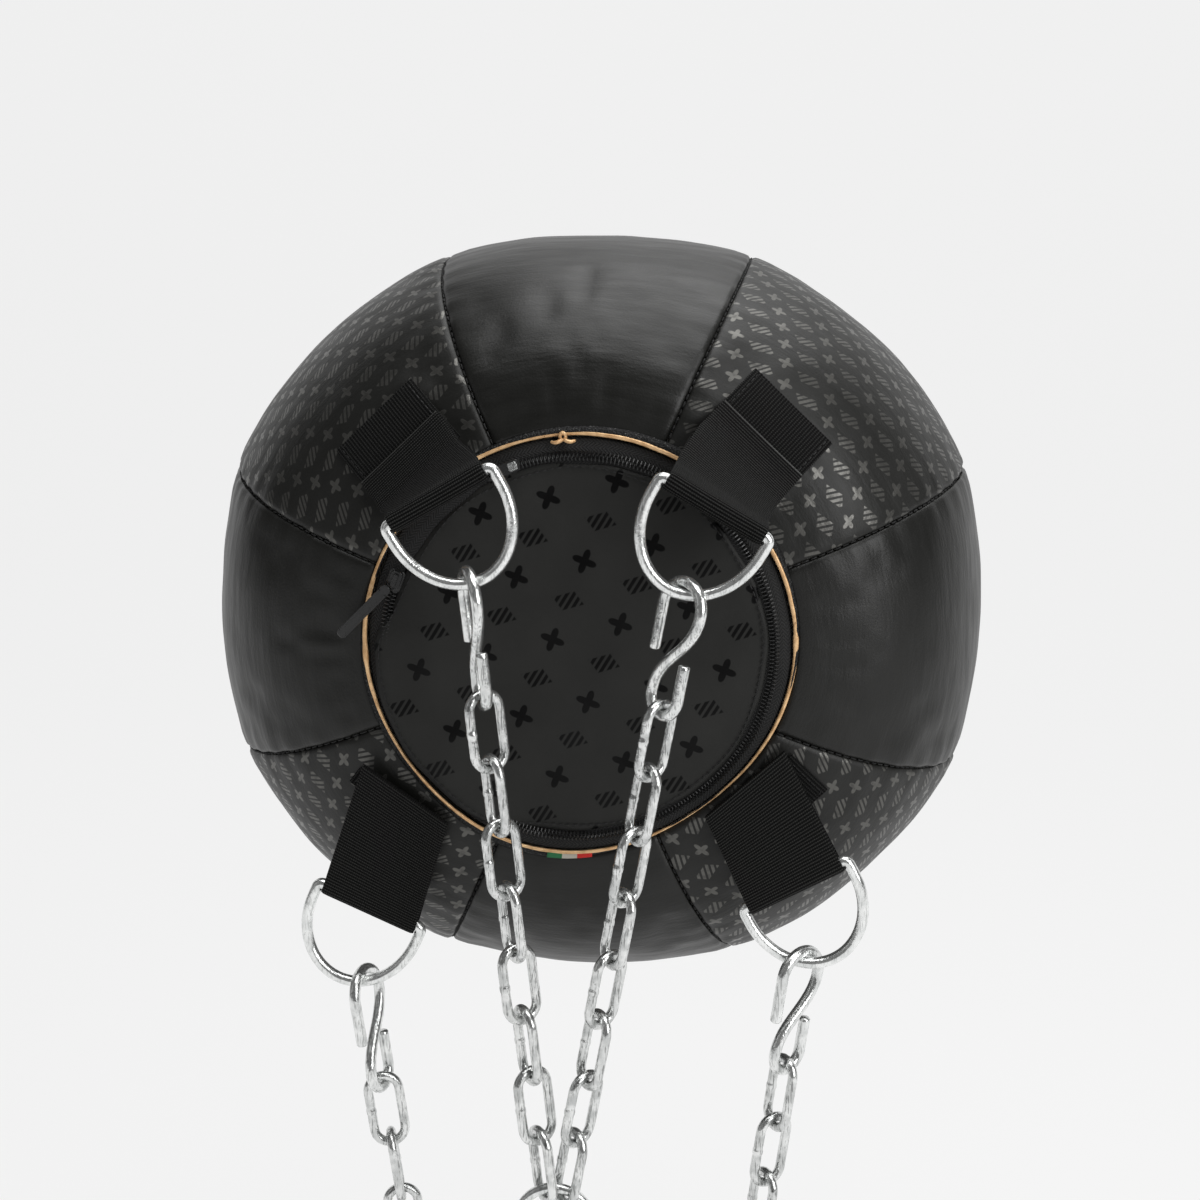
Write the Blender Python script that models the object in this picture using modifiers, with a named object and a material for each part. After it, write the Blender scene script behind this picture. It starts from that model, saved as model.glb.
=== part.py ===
"""Uppercut bag: a round stuffed training bag with a zipped lid, four webbing straps and four hanging chains.

The bag's axis lies along Y. The lid faces -Y, the flat base disc is at the origin and +Z is up, so the chains hang
down in front of the lid, as they fall when the bag is held by its base with the chains slack. "Depth" below is the
distance behind the lid's plane, and "plan" is the view onto the lid, in X and Z.
"""

import math

import bmesh
import bpy
from mathutils import Matrix, Vector

# Shell: a turned profile with eight slightly flat panels, a little lower than wide
LID_DEPTH = 0.345  # from the base disc's face to the lid's plane
BACK_DEPTH = 0.3435
RIM_R = 0.1028
GIRTH_R = 0.2045
GIRTH_DEPTH = 0.135
BASE_R = 0.055
SHOULDER_POWER = 2.1
PANELS = 8
PANEL_T = 0.004
PANEL_FLAT = 0.012
SAG = 0.045
SEAM_HALF = 0.0009
CORE_INSET = 0.0052
FIRST_LEVEL, LAST_LEVEL, LEVEL_STEPS = 0.03, 1.987, 13  # the panels' ends along the profile
PANEL_NAMES = ("right", "upper_right", "top", "upper_left", "left", "lower_left", "bottom", "lower_right")

# Lid, piping and zip
LID_R = 0.0862
LID_T = 0.004
LID_FRONT, LID_CROWN = 0.0010, 0.0006  # the lid's edge in front of the zip, and its middle in front of its edge
TAPE_IN, TAPE_OUT, TAPE_T = 0.0868, 0.1008, 0.0012
TEETH_R, TEETH_WIRE, TEETH_LIFT = 0.0930, 0.0015, 0.0003
PIPING_WIRE, PIPING_DEPTH = 0.0011, 0.0002
BASE_DISC_R, BASE_DISC_T = 0.0545, 0.0035
SLIDER_ANGLE, ZIP_END_ANGLE = 159.0, 112.0
SLIDER_SIZE = (0.008, 0.0045, 0.011)  # radial, along the bag's axis, along the zip
SLIDER_LIFT = 0.0006  # gap between the tape and the teeth, and between the teeth and the slider, together
PULL_SIZE = (0.005, 0.0014, 0.034)
PULL_TAIL = 0.0007  # past the pull's pivot
PULL_TURN = 225.0  # the way the pull points, in plan
PULL_REACH = 0.004  # from the slider's middle to the pull's pivot
PULL_LIFT = 0.0009
ZIP_END_SIZE = (0.006, 0.003, 0.016)
BLOCK_ROUNDING = 0.25  # share of a block's thinnest side

# Webbing: 50 mm wide, a sewn patch on the shoulder and a loop round the D-ring's bar
WEB_HALF = 0.025
WEB_T = 0.0015
PATCH_T = 0.0019
PATCH_NEAR = 0.005  # the patch's ends, from the fold
PATCH_FAR = {"upper_left": 0.040, "upper_right": 0.040, "lower_left": 0.014, "lower_right": 0.030}
PATCH_LIFT = 0.0004
BAR_PLAY = 0.0005
LAYER_GAP = 0.0004  # between a loop's two layers where they leave the fold
# side: patch direction in plan, the fold's middle (x, depth, z), the D-ring bar's middle and its slope in plan
STRAPS = {
    "upper_left": (133, (-0.0697, -0.0020, 0.0808), (-0.0590, -0.046, 0.0790), 30),
    "upper_right": (47, (0.0705, -0.0020, 0.0862), (0.0650, -0.046, 0.0755), -30),
    "lower_left": (235, (-0.0835, -0.0070, -0.0713), (-0.1045, 0.006, -0.1325), -24),
    "lower_right": (312, (0.0795, -0.0070, -0.0623), (0.1040, -0.002, -0.1130), 28),
}

# Wire goods
D_WIRE, D_HALF, D_LEG, D_BOW = 0.00275, 0.028, 0.008, 0.034
D_CORNER, D_CORNER_CUT = 0.0022, 0.00066  # where a corner starts, and its middle point from both sides
HOOK_WIRE, HOOK_TOP_R, HOOK_LOW_R, HOOK_RISE = 0.00275, 0.0127, 0.009, 0.0405
HOOK_TOP_LEG, HOOK_LOW_LEG = 0.022, 0.017
HOOK_TOP_BEND = ((0.0008, 0.0050), (0.0045, 0.0115))  # the stem inside the top bend's side, and below its middle
HOOK_LOW_BEND = ((0.0040, 0.0110), (0.0008, 0.0050))  # the stem inside the low bend's side, and above its middle
LINK_WIRE, LINK_HALF, PITCH = 0.00235, 0.00775, 0.0306
RING_WIRE, RING_R = 0.0025, 0.0175
PLAY = 0.0003  # clearance where one wire hangs in another
RING_PLAY = 0.0009  # extra room for the ring, whose thicker wire slopes where the last links hold it
JOINED_BITE = 0.0014  # how far the last links of a lower chain are pressed into each other
RING_SPREAD = 0.0048  # each last link's place on the ring, either side of its top
UPPER_LINKS, LOWER_LINKS, JOINED_LINKS = 8, 5, 3
# Lean of each chain's pull from plumb, towards +X
PULL_LEAN = {"upper_left": 10, "upper_right": -10, "lower_left": 8, "lower_right": -8}
# Turn of each hook's plane, and of odd and even links, about the chain, from the plane of the lid
HOOK_TURN = {"upper_left": -68, "upper_right": -46, "lower_left": 74, "lower_right": 46}
LINK_TURN = {"upper_left": (36, -56), "upper_right": (46, -54), "lower_left": (12, -78), "lower_right": (-56, 34)}

HOOK_SPAN = (
    HOOK_RISE + HOOK_TOP_R - HOOK_WIRE - D_WIRE - PLAY + HOOK_LOW_R - HOOK_WIRE - LINK_WIRE - PLAY
)  # from the D-ring wire's centre to the first link wire's centre
ACROSS = Vector((1, 0, 0))
AXIS = Vector((0, 1, 0))
WELD = 0.00001  # points closer than this are one point


# Points of the shell

def place(x, depth, z):
    return Vector((x, depth - LID_DEPTH, z))


def profile(t):
    """Radius and depth of the shell: t runs 0 to 1 over the shoulder and 1 to 2 over the back."""
    if t <= 1:
        a = t * math.pi / 2
        power = 2 / SHOULDER_POWER
        return (
            RIM_R + (GIRTH_R - RIM_R) * math.sin(a) ** power,
            GIRTH_DEPTH * (1 - max(math.cos(a), 0) ** power),
        )
    a = (t - 1) * math.pi / 2
    return (
        BASE_R + (GIRTH_R - BASE_R) * math.cos(a),
        GIRTH_DEPTH + (BACK_DEPTH - GIRTH_DEPTH) * math.sin(a),
    )


def bag_point(t, angle, inset=0.0):
    """A point of the shell, or of the surface that lies inset below it."""
    step = 1e-3
    r0, d0 = profile(max(t - step, 0))
    r1, d1 = profile(min(t + step, 2))
    length = math.hypot(r1 - r0, d1 - d0)
    r, depth = profile(t)
    full = min(max((r - RIM_R) / (GIRTH_R - RIM_R), 0), 1)
    across = ((angle * PANELS / math.tau + 0.5) % 1) * 2 - 1
    r *= 1 - PANEL_FLAT * full * (1 - across * across)
    r -= inset * (d1 - d0) / length
    depth += inset * (r1 - r0) / length
    return place(r * math.cos(angle), depth, r * math.sin(angle) * (1 - SAG * full))


def shoulder_above(x, z, lift):
    """The point lift above the shoulder that is seen at (x, z) in plan."""
    angle = math.atan2(z, x)
    low, high = 0.0, 1.0
    for _ in range(40):
        t = (low + high) / 2
        p = bag_point(t, angle)
        low, high = (t, high) if math.hypot(p.x, p.z) < math.hypot(x, z) else (low, t)
    return bag_point(t, angle, -lift)


# Objects

def material(name, color, roughness, metallic=0.0):
    made = bpy.data.materials.new(name)
    made.use_nodes = True
    shader = made.node_tree.nodes["Principled BSDF"]
    shader.inputs["Base Color"].default_value = (*color, 1)
    shader.inputs["Roughness"].default_value = roughness
    shader.inputs["Metallic"].default_value = metallic
    return made


def add(name, data, look):
    piece = bpy.data.objects.new(name, data)
    data.materials.append(look)
    PARTS.objects.link(piece)
    return piece


def mesh_of(name, points, faces):
    data = bpy.data.meshes.new(name)
    data.from_pydata([tuple(p) for p in points], [], faces)
    data.shade_smooth()
    data.set_sharp_from_angle(angle=math.radians(35))
    return data


def grid(name, rows):
    """An open surface through equal rows of points."""
    n = len(rows[0])
    faces = [
        (i * n + j, i * n + j + 1, (i + 1) * n + j + 1, (i + 1) * n + j)
        for i in range(len(rows) - 1)
        for j in range(n - 1)
    ]
    return mesh_of(name, [p for row in rows for p in row], faces)


def thicken(piece, thickness, offset):
    solid = piece.modifiers.new("thickness", "SOLIDIFY")
    solid.thickness = thickness
    solid.offset = offset
    return piece


def turned(name, outline, look):
    """A ring or disc about the bag's axis, from (radius, depth) points that run backwards along its outer side."""
    points = [(r, 0, -depth) for r, depth in outline]
    closed = outline[0][0] > 0
    edges = [(i, i + 1) for i in range(len(points) - 1)] + ([(len(points) - 1, 0)] if closed else [])
    data = bpy.data.meshes.new(name)
    data.from_pydata(points, edges, [])
    piece = add(name, data, look)
    screw = piece.modifiers.new("turn", "SCREW")
    screw.steps = screw.render_steps = 48
    screw.use_merge_vertices = True
    screw.merge_threshold = WELD
    piece.rotation_euler = (math.pi / 2, 0, 0)
    piece.location = place(0, 0, 0)
    return piece


def wire(name, points, radius, look, closed=False, sides=2):
    """A round wire through points; sides is the curve's bevel resolution."""
    curve = bpy.data.curves.new(name, "CURVE")
    curve.dimensions = "3D"
    curve.bevel_depth = radius
    curve.bevel_resolution = sides
    curve.use_fill_caps = not closed
    line = curve.splines.new("POLY")
    line.points.add(len(points) - 1)
    for spot, p in zip(line.points, points):
        spot.co = (*p, 1)
    line.use_cyclic_u = closed
    return add(name, curve, look)


def arc(centre, radius, start, stop, steps):
    """Points on a circle in a plane of (across, up) pairs, by angles in degrees."""
    spread = [math.radians(start + (stop - start) * i / steps) for i in range(steps + 1)]
    return [(centre[0] + radius * math.cos(a), centre[1] + radius * math.sin(a)) for a in spread]


def upright_frame(origin, across, up):
    """A matrix whose X is across, whose Z is up and whose origin is given."""
    front = up.cross(across).normalized()
    across = front.cross(up).normalized()
    rows = Matrix((across, front, up.normalized())).transposed().to_4x4()
    return Matrix.Translation(origin) @ rows


def turned_frame(origin, down, turn):
    """The frame of a hook or link that hangs along down, turned about it from the lid's plane by turn degrees."""
    across = Matrix.Rotation(math.radians(turn), 3, "Z") @ ACROSS
    return upright_frame(origin, across, -down)


# The bag

def shell_levels():
    return [FIRST_LEVEL + (LAST_LEVEL - FIRST_LEVEL) * i / LEVEL_STEPS for i in range(LEVEL_STEPS + 1)]


def make_panel(index, look):
    middle = index * math.tau / PANELS
    half = math.pi / PANELS
    rows = []
    for t in shell_levels():
        seam = half - SEAM_HALF / profile(t)[0]
        rows.append([bag_point(t, middle + seam * k / 2) for k in (-2, -1, 0, 1, 2)])
    name = "panel_" + PANEL_NAMES[index]
    thicken(add(name, grid(name, rows), look), PANEL_T, 1)


def make_filling(look):
    around = PANELS * 4
    levels = shell_levels()
    points = [bag_point(t, math.tau * k / around, CORE_INSET) for t in levels for k in range(around)]
    faces = [
        (i * around + k, (i + 1) * around + k, (i + 1) * around + (k + 1) % around, i * around + (k + 1) % around)
        for i in range(len(levels) - 1)
        for k in range(around)
    ]
    faces.append(tuple(range(around)))
    faces.append(tuple(reversed(range((len(levels) - 1) * around, len(levels) * around))))
    add("filling", mesh_of("filling", points, faces), look)


def zip_frame(angle):
    """A frame on the zip: X outwards, Y along the bag's axis, Z along the zip, anticlockwise in plan."""
    a = math.radians(angle)
    outward = Vector((math.cos(a), 0, math.sin(a)))
    along = Vector((-math.sin(a), 0, math.cos(a)))
    rows = Matrix((outward, along.cross(outward), along)).transposed().to_4x4()
    return Matrix.Translation(place(0, 0, 0) + outward * TEETH_R) @ rows


def block(name, size, frame, offset, look):
    """A rounded block of (radial, axial, lengthwise) size in a zip frame."""
    data = bpy.data.meshes.new(name)
    solid = bmesh.new()
    bmesh.ops.create_cube(solid, size=1.0)
    bmesh.ops.scale(solid, vec=size, verts=solid.verts)
    bmesh.ops.translate(solid, vec=offset, verts=solid.verts)
    solid.to_mesh(data)
    solid.free()
    piece = add(name, data, look)
    piece.matrix_world = frame
    soft = piece.modifiers.new("soft", "BEVEL")
    soft.width = min(size) * BLOCK_ROUNDING
    soft.segments = 1
    return piece


def ring(name, radius, thickness, depth, look):
    """A round wire bent into a ring about the bag's axis."""
    bpy.ops.mesh.primitive_torus_add(
        major_radius=radius,
        minor_radius=thickness,
        major_segments=48,
        minor_segments=6,
        rotation=(math.pi / 2, 0, 0),
        location=place(0, depth, 0),
    )
    made = bpy.context.object
    made.name = name
    made.data.materials.append(look)
    for group in made.users_collection:
        group.objects.unlink(made)
    PARTS.objects.link(made)


def make_lid(looks):
    front, back = -LID_FRONT, LID_T - LID_FRONT
    turned("lid", [(0, front - LID_CROWN), (LID_R, front), (LID_R, back), (0, back)], looks["leatherette"])
    turned("zip_tape", [(TAPE_IN, 0), (TAPE_OUT, 0), (TAPE_OUT, TAPE_T), (TAPE_IN, TAPE_T)], looks["tape"])
    ring("zip_teeth", TEETH_R, TEETH_WIRE, -TEETH_WIRE - TEETH_LIFT, looks["black_plastic"])
    ring("lid_piping", RIM_R, PIPING_WIRE, PIPING_DEPTH, looks["piping"])
    disc = LID_DEPTH - BASE_DISC_T
    turned("base_disc", [(0, disc), (BASE_DISC_R, disc), (BASE_DISC_R, LID_DEPTH), (0, LID_DEPTH)], looks["leatherette"])


def pull_frame():
    """A frame at the pull's pivot: X along its hinge, Y along the bag's axis, Z the way it points."""
    a = math.radians(PULL_TURN)
    ahead = Vector((math.cos(a), 0, math.sin(a)))
    hinge = AXIS.cross(ahead)
    depth = -2 * TEETH_WIRE - SLIDER_LIFT - SLIDER_SIZE[1] - PULL_LIFT - PULL_SIZE[1] / 2
    pivot = zip_frame(SLIDER_ANGLE).translation + AXIS * depth + ahead * PULL_REACH
    rows = Matrix((hinge, AXIS, ahead)).transposed().to_4x4()
    return Matrix.Translation(pivot) @ rows


def make_zip(looks):
    above = -2 * TEETH_WIRE - SLIDER_LIFT
    slider = (0, above - SLIDER_SIZE[1] / 2, 0)
    block("zip_slider", SLIDER_SIZE, zip_frame(SLIDER_ANGLE), slider, looks["black_metal"])
    block("zip_pull", PULL_SIZE, pull_frame(), (0, 0, PULL_SIZE[2] / 2 - PULL_TAIL), looks["black_metal"])
    end = (0, above - ZIP_END_SIZE[1] / 2, 0)
    block("zip_end", ZIP_END_SIZE, zip_frame(ZIP_END_ANGLE), end, looks["black_metal"])


# Straps

def strap_frame(side):
    """The strap's outward and sideways directions in plan, its fold's middle, and its bar's middle and direction."""
    turn, fold, bar, slope = STRAPS[side]
    a = math.radians(turn)
    outward = Vector((math.cos(a), 0, math.sin(a)))
    sideways = outward.cross(AXIS)
    s = math.radians(slope)
    lie = Vector((math.cos(s), 0, math.sin(s)))
    if lie.dot(sideways) < 0:
        lie.negate()
    return outward, sideways, place(*fold), place(*bar), lie


def patch_rows(side, lift, steps):
    """Rows across the strap from the patch's outer end to its inner end."""
    outward, sideways, fold = strap_frame(side)[:3]
    rows = []
    for i in range(steps + 1):
        reach = PATCH_FAR[side] + (PATCH_NEAR - PATCH_FAR[side]) * i / steps
        spots = [fold + outward * reach + sideways * WEB_HALF * k for k in (-1, -0.5, 0, 0.5, 1)]
        rows.append([shoulder_above(p.x, p.z, lift) for p in spots])
    return rows


def loop_rows(side):
    """Rows across the webbing: out from the fold, round the D-ring's bar and back to the fold."""
    _, sideways, fold, bar, lie = strap_frame(side)
    hug = D_WIRE + BAR_PLAY + WEB_T / 2
    apart = (WEB_T + LAYER_GAP) / 2
    rows = []
    for k in (-1, -0.5, 0, 0.5, 1):
        start = fold + sideways * WEB_HALF * k
        stop = bar + lie * WEB_HALF * k
        out = (stop - start).normalized()
        rise = out.cross(lie).normalized()
        ahead = lie.cross(rise)
        turn = [math.radians(100 - 200 * i / 8) for i in range(9)]
        bend = [stop + (ahead * math.cos(a) + rise * math.sin(a)) * hug for a in turn]
        rows.append([start + rise * apart, *bend, start - rise * apart])
    return [list(row) for row in zip(*rows)]


def make_strap(side, looks):
    web = looks["webbing"]
    if side.startswith("upper"):
        patch = patch_rows(side, PATCH_LIFT + WEB_T / 2, 3)
        loop = loop_rows(side)
        if (loop[0][2] - loop[-1][2]).dot(patch[0][2] - patch[-1][2]) < 0:
            loop.reverse()
        piece = add("strap_" + side, grid("strap_" + side, patch + loop), web)
        thicken(piece, WEB_T, 0)
        return
    name = "strap_" + side + "_patch"
    thicken(add(name, grid(name, patch_rows(side, PATCH_LIFT, 3)), web), PATCH_T, 1)
    name = "strap_" + side + "_loop"
    thicken(add(name, grid(name, loop_rows(side)), web), WEB_T, 0)


# Wire goods, each drawn in its own plane

def d_ring_outline():
    """(across, down) points of a D-ring's centre line from the middle of its bar's left end."""
    bow = [(D_HALF * math.cos(math.radians(a)), D_LEG + D_BOW * math.sin(math.radians(a))) for a in range(0, 181, 15)]
    right = [(D_HALF - D_CORNER, 0), (D_HALF - D_CORNER_CUT, D_CORNER_CUT), (D_HALF, D_CORNER)]
    left = [(-x, d) for x, d in reversed(right)]
    return right + bow + left


def d_ring_up(side):
    lie = strap_frame(side)[4]
    lie = lie if lie.x > 0 else -lie
    return Vector((-lie.z, 0, lie.x))


def pull_direction(side):
    lean = math.radians(PULL_LEAN[side])
    return Vector((math.sin(lean), 0, -math.cos(lean)))


def hang_point(side):
    """Centre of the D-ring's wire where the hook hangs: the bow's farthest point along the chain's pull."""
    _, _, _, bar, lie = strap_frame(side)
    lie = lie if lie.x > 0 else -lie
    up = d_ring_up(side)
    pull = pull_direction(side)
    low = math.atan2(-D_BOW * up.dot(pull), D_HALF * lie.dot(pull))
    return bar + lie * (D_HALF * math.cos(low)) - up * (D_LEG + D_BOW * math.sin(low))


def make_d_ring(side, look):
    bar, lie = strap_frame(side)[3:]
    lie = lie if lie.x > 0 else -lie
    up = d_ring_up(side)
    points = [lie * x - up * d for x, d in d_ring_outline()]
    piece = wire("d_ring_" + side, points, D_WIRE, look, closed=True)
    piece.location = bar


def hook_outline():
    """(across, up) points of an S-hook from the D-ring wire's centre, which its top bend hangs on."""
    top = (0, -(HOOK_TOP_R - HOOK_WIRE - D_WIRE - PLAY))
    low = (0, top[1] - HOOK_RISE)
    over = arc(top, HOOK_TOP_R, 180, 0, 8)
    under = arc(low, HOOK_LOW_R, 180, 360, 8)
    stem = [(HOOK_TOP_R - inside, top[1] - below) for inside, below in HOOK_TOP_BEND]
    stem += [(inside - HOOK_LOW_R, low[1] + above) for inside, above in HOOK_LOW_BEND]
    ends = (-HOOK_TOP_R, top[1] - HOOK_TOP_LEG), (HOOK_LOW_R, low[1] + HOOK_LOW_LEG)
    return [ends[0], *over, *stem, *under, ends[1]]


def make_hook(side, down, look):
    piece = wire("hook_" + side, [Vector((x, 0, z)) for x, z in hook_outline()], HOOK_WIRE, look)
    piece.matrix_world = turned_frame(hang_point(side), down, HOOK_TURN[side])


def link_outline():
    """(across, up) points of a link from the centre of its top wire."""
    drop = PITCH + 2 * LINK_WIRE + PLAY - 2 * LINK_HALF
    ends = arc((0, -LINK_HALF), LINK_HALF, 0, 180, 6), arc((0, -LINK_HALF - drop), LINK_HALF, 180, 360, 6)
    return [*ends[0], *ends[1]]


def make_link(name, top, down, turn, look):
    piece = wire(name, [Vector((x, 0, z)) for x, z in link_outline()], LINK_WIRE, look, closed=True, sides=1)
    piece.matrix_world = turned_frame(top, down, turn)
    return piece


def solid_of(piece):
    """The piece as a closed mesh object in place of its curve."""
    seen = piece.evaluated_get(bpy.context.evaluated_depsgraph_get())
    data = bpy.data.meshes.new_from_object(seen)
    body = bmesh.new()
    body.from_mesh(data)
    bmesh.ops.remove_doubles(body, verts=body.verts, dist=WELD)
    body.to_mesh(data)
    body.free()
    made = bpy.data.objects.new(piece.name + "_solid", data)
    made.matrix_world = piece.matrix_world.copy()
    bpy.data.objects.remove(piece)
    return made


def make_joined_end(side, top, down, look):
    """The last links of a lower chain, joined by pressing each a little way into the one above."""
    odd, even = LINK_TURN[side]
    solids = []
    for n in range(JOINED_LINKS):
        turn = odd if (LOWER_LINKS + n) % 2 == 0 else even
        link = make_link("link", top + down * n * (PITCH + JOINED_BITE), down, turn, look)
        bpy.context.view_layer.update()
        solids.append(solid_of(link))
    base = solids[0]
    base.name = "chain_" + side + "_end"
    PARTS.objects.link(base)
    for tool in solids[1:]:
        TOOLS.objects.link(tool)
        tool.hide_render = True
        tool.display_type = "WIRE"
        cut = base.modifiers.new("join", "BOOLEAN")
        cut.operation = "UNION"
        cut.object = tool


def v_directions():
    """Down each upper chain, and the ring's top: the chains are equally long and meet side by side on the ring."""
    left, right = hang_point("upper_left"), hang_point("upper_right")
    span = (right - left).length
    level = (right - left).normalized()
    plumb = level.cross(AXIS)
    plumb = plumb if plumb.z < 0 else -plumb
    length = HOOK_SPAN + UPPER_LINKS * PITCH - RING_PLAY
    run = span / 2 - RING_SPREAD
    fall = math.sqrt(length * length - run * run)
    down = {"upper_left": (level * run + plumb * fall) / length, "upper_right": (plumb * fall - level * run) / length}
    return down, (left + right) / 2 + plumb * fall, plumb


def link_top(side, down, index):
    """Centre of the top wire of a chain's link, counted from 0."""
    return hang_point(side) + down * (HOOK_SPAN + index * PITCH)


def make_chains(look):
    down, ring_top, plumb = v_directions()
    for side in ("upper_left", "upper_right"):
        make_hook(side, down[side], look)
        for n in range(UPPER_LINKS):
            name = "link_%s_%d" % (side, n + 1)
            make_link(name, link_top(side, down[side], n), down[side], LINK_TURN[side][n % 2], look)
    for side in ("lower_left", "lower_right"):
        pull = pull_direction(side)
        make_hook(side, pull, look)
        for n in range(LOWER_LINKS):
            make_link("link_%s_%d" % (side, n + 1), link_top(side, pull, n), pull, LINK_TURN[side][n % 2], look)
        make_joined_end(side, link_top(side, pull, LOWER_LINKS), pull, look)
    sag = RING_R - math.sqrt(RING_R**2 - RING_SPREAD**2)
    ring = [Vector((x, 0, z)) for x, z in arc((0, sag - RING_R), RING_R, 90, 450, 24)[:-1]]
    piece = wire("hanging_ring", ring, RING_WIRE, look, closed=True)
    level = hang_point("upper_right") - hang_point("upper_left")
    piece.matrix_world = upright_frame(ring_top, level.normalized(), -plumb)


def make_looks():
    return {
        "leatherette": material("leatherette", (0.022, 0.022, 0.021), 0.42),
        "printed": material("printed_leatherette", (0.030, 0.030, 0.028), 0.5),
        "webbing": material("webbing", (0.010, 0.010, 0.010), 0.85),
        "tape": material("zip_tape", (0.008, 0.008, 0.008), 0.8),
        "black_plastic": material("black_plastic", (0.008, 0.008, 0.008), 0.35),
        "black_metal": material("black_metal", (0.03, 0.03, 0.03), 0.3, 0.9),
        "piping": material("piping", (0.62, 0.36, 0.17), 0.4),
        "zinc": material("zinc", (0.62, 0.63, 0.63), 0.28, 1.0),
        "filling": material("filling", (0.35, 0.33, 0.30), 0.95),
    }


def main():
    looks = make_looks()
    for index in range(PANELS):
        make_panel(index, looks["printed"] if index % 2 else looks["leatherette"])
    make_filling(looks["filling"])
    make_lid(looks)
    make_zip(looks)
    for side in STRAPS:
        make_strap(side, looks)
        make_d_ring(side, looks["zinc"])
    make_chains(looks["zinc"])


for old in list(bpy.data.objects):
    bpy.data.objects.remove(old)
PARTS = bpy.data.collections.new("uppercut_bag")
TOOLS = bpy.data.collections.new("tools")
for group in (PARTS, TOOLS):
    bpy.context.scene.collection.children.link(group)
main()
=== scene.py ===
"""The looks of the uppercut bag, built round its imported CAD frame.

The bag's axis lies along Y, with the lid towards -Y and the base disc at the origin. The chains hang along
-Z. "Depth" is the distance behind the lid's plane, "plan" is the view onto the lid, and angles in plan run
from +X towards +Z. Lengths are in metres. Named angles are in degrees.
"""

import math

import bpy
import numpy as np
from mathutils import Matrix, Vector, noise


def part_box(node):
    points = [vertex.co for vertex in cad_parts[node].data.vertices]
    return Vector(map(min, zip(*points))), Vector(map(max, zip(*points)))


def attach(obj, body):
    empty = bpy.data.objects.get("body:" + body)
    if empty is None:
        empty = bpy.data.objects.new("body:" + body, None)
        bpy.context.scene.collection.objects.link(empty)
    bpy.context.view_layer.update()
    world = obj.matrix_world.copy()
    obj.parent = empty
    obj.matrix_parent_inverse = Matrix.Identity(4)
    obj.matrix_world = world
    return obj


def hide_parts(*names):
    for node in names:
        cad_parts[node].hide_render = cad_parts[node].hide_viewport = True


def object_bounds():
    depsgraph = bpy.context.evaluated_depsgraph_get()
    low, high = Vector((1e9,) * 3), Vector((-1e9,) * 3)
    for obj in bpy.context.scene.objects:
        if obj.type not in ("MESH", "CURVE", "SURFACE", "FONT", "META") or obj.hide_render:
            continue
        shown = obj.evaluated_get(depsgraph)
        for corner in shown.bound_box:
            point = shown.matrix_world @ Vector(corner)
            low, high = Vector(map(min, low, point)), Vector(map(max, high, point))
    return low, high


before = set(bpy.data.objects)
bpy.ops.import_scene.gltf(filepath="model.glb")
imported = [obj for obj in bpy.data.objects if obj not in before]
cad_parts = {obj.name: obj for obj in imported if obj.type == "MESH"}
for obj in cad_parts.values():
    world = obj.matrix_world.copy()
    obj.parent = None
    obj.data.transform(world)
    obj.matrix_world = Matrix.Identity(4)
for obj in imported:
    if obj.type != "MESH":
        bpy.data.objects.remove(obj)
cad_low, cad_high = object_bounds()

# Shell, as the CAD panels have it
LID_Y = -0.345
BACK_DEPTH = 0.3435
RIM_R, GIRTH_R, BASE_R = 0.1028, 0.2045, 0.055
GIRTH_DEPTH = 0.135
SHOULDER_POWER = 2.1
PANELS = 8
PANEL_FLAT = 0.016
SAG = 0.045
DIAGONAL_FULLNESS = 0.022
# How far, about which angle and how widely the hem draws the rim in
RIM_PULLS = ((0.0069, 306, 36), (0.0030, 222, 24))
PANEL_NAMES = ("right", "upper_right", "top", "upper_left", "left", "lower_left", "bottom", "lower_right")
SHEET_T, FILLING_INSET = 0.0012, 0.013
SIM_COLUMNS, SIM_ROWS, SIM_STEPS = 16, 60, 20
PUFF_SHARE, PUFF_LIMIT = 0.7, 0.004
SEAM_DEPTH, SEAM_WIDTH = 0.0016, 0.0013
BASE_DISC_R, BASE_DISC_T = 0.0545, 0.0033

# Lid, zip and piping
LID_R, LID_T = 0.0895, 0.0016
LAP_MIDDLE, LAP_HALF, LAP_EDGE = 211, 38, 3.5
LAP_REACH, LAP_LIFT = 0.0098, 0.0024
TEETH_R, TEETH_ROW, TEETH_WIRE = 0.0930, 0.0009, 0.00042
TEETH_START, TEETH_SPAN, TEETH_COUNT = 162, 306, 270
PIPING_WIRE = 0.00112
KNOT_ANGLE = 94
SLIDER_ANGLE, ZIP_END_ANGLE = 159, 112
TAB_START, TAB_WIDE, TAB_LONG = 261.3, 0.0220, 0.0032

# Prints: a mark is a lozenge's width and height, a blot is its width, and a slant leans the lozenges
PANEL_PRINT = {"pitch": 0.0136, "rows": 0.0110, "mark": (0.0152, 0.0084), "blot": 0.0076, "slant": 0.55}
LID_PRINT = {
    "first": (0.0170, -0.0298),
    "second": (-0.0076, -0.0189),
    "mark": (0.0165, 0.0110),
    "blot": 0.0118,
    "slant": -0.35,
    "turn": -12,
}

# Zip pull, pivoted on the slider
PULL_TURN, PULL_REACH, PULL_HEIGHT, PULL_LENGTH = 225, 0.004, 0.0097, 0.034

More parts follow.
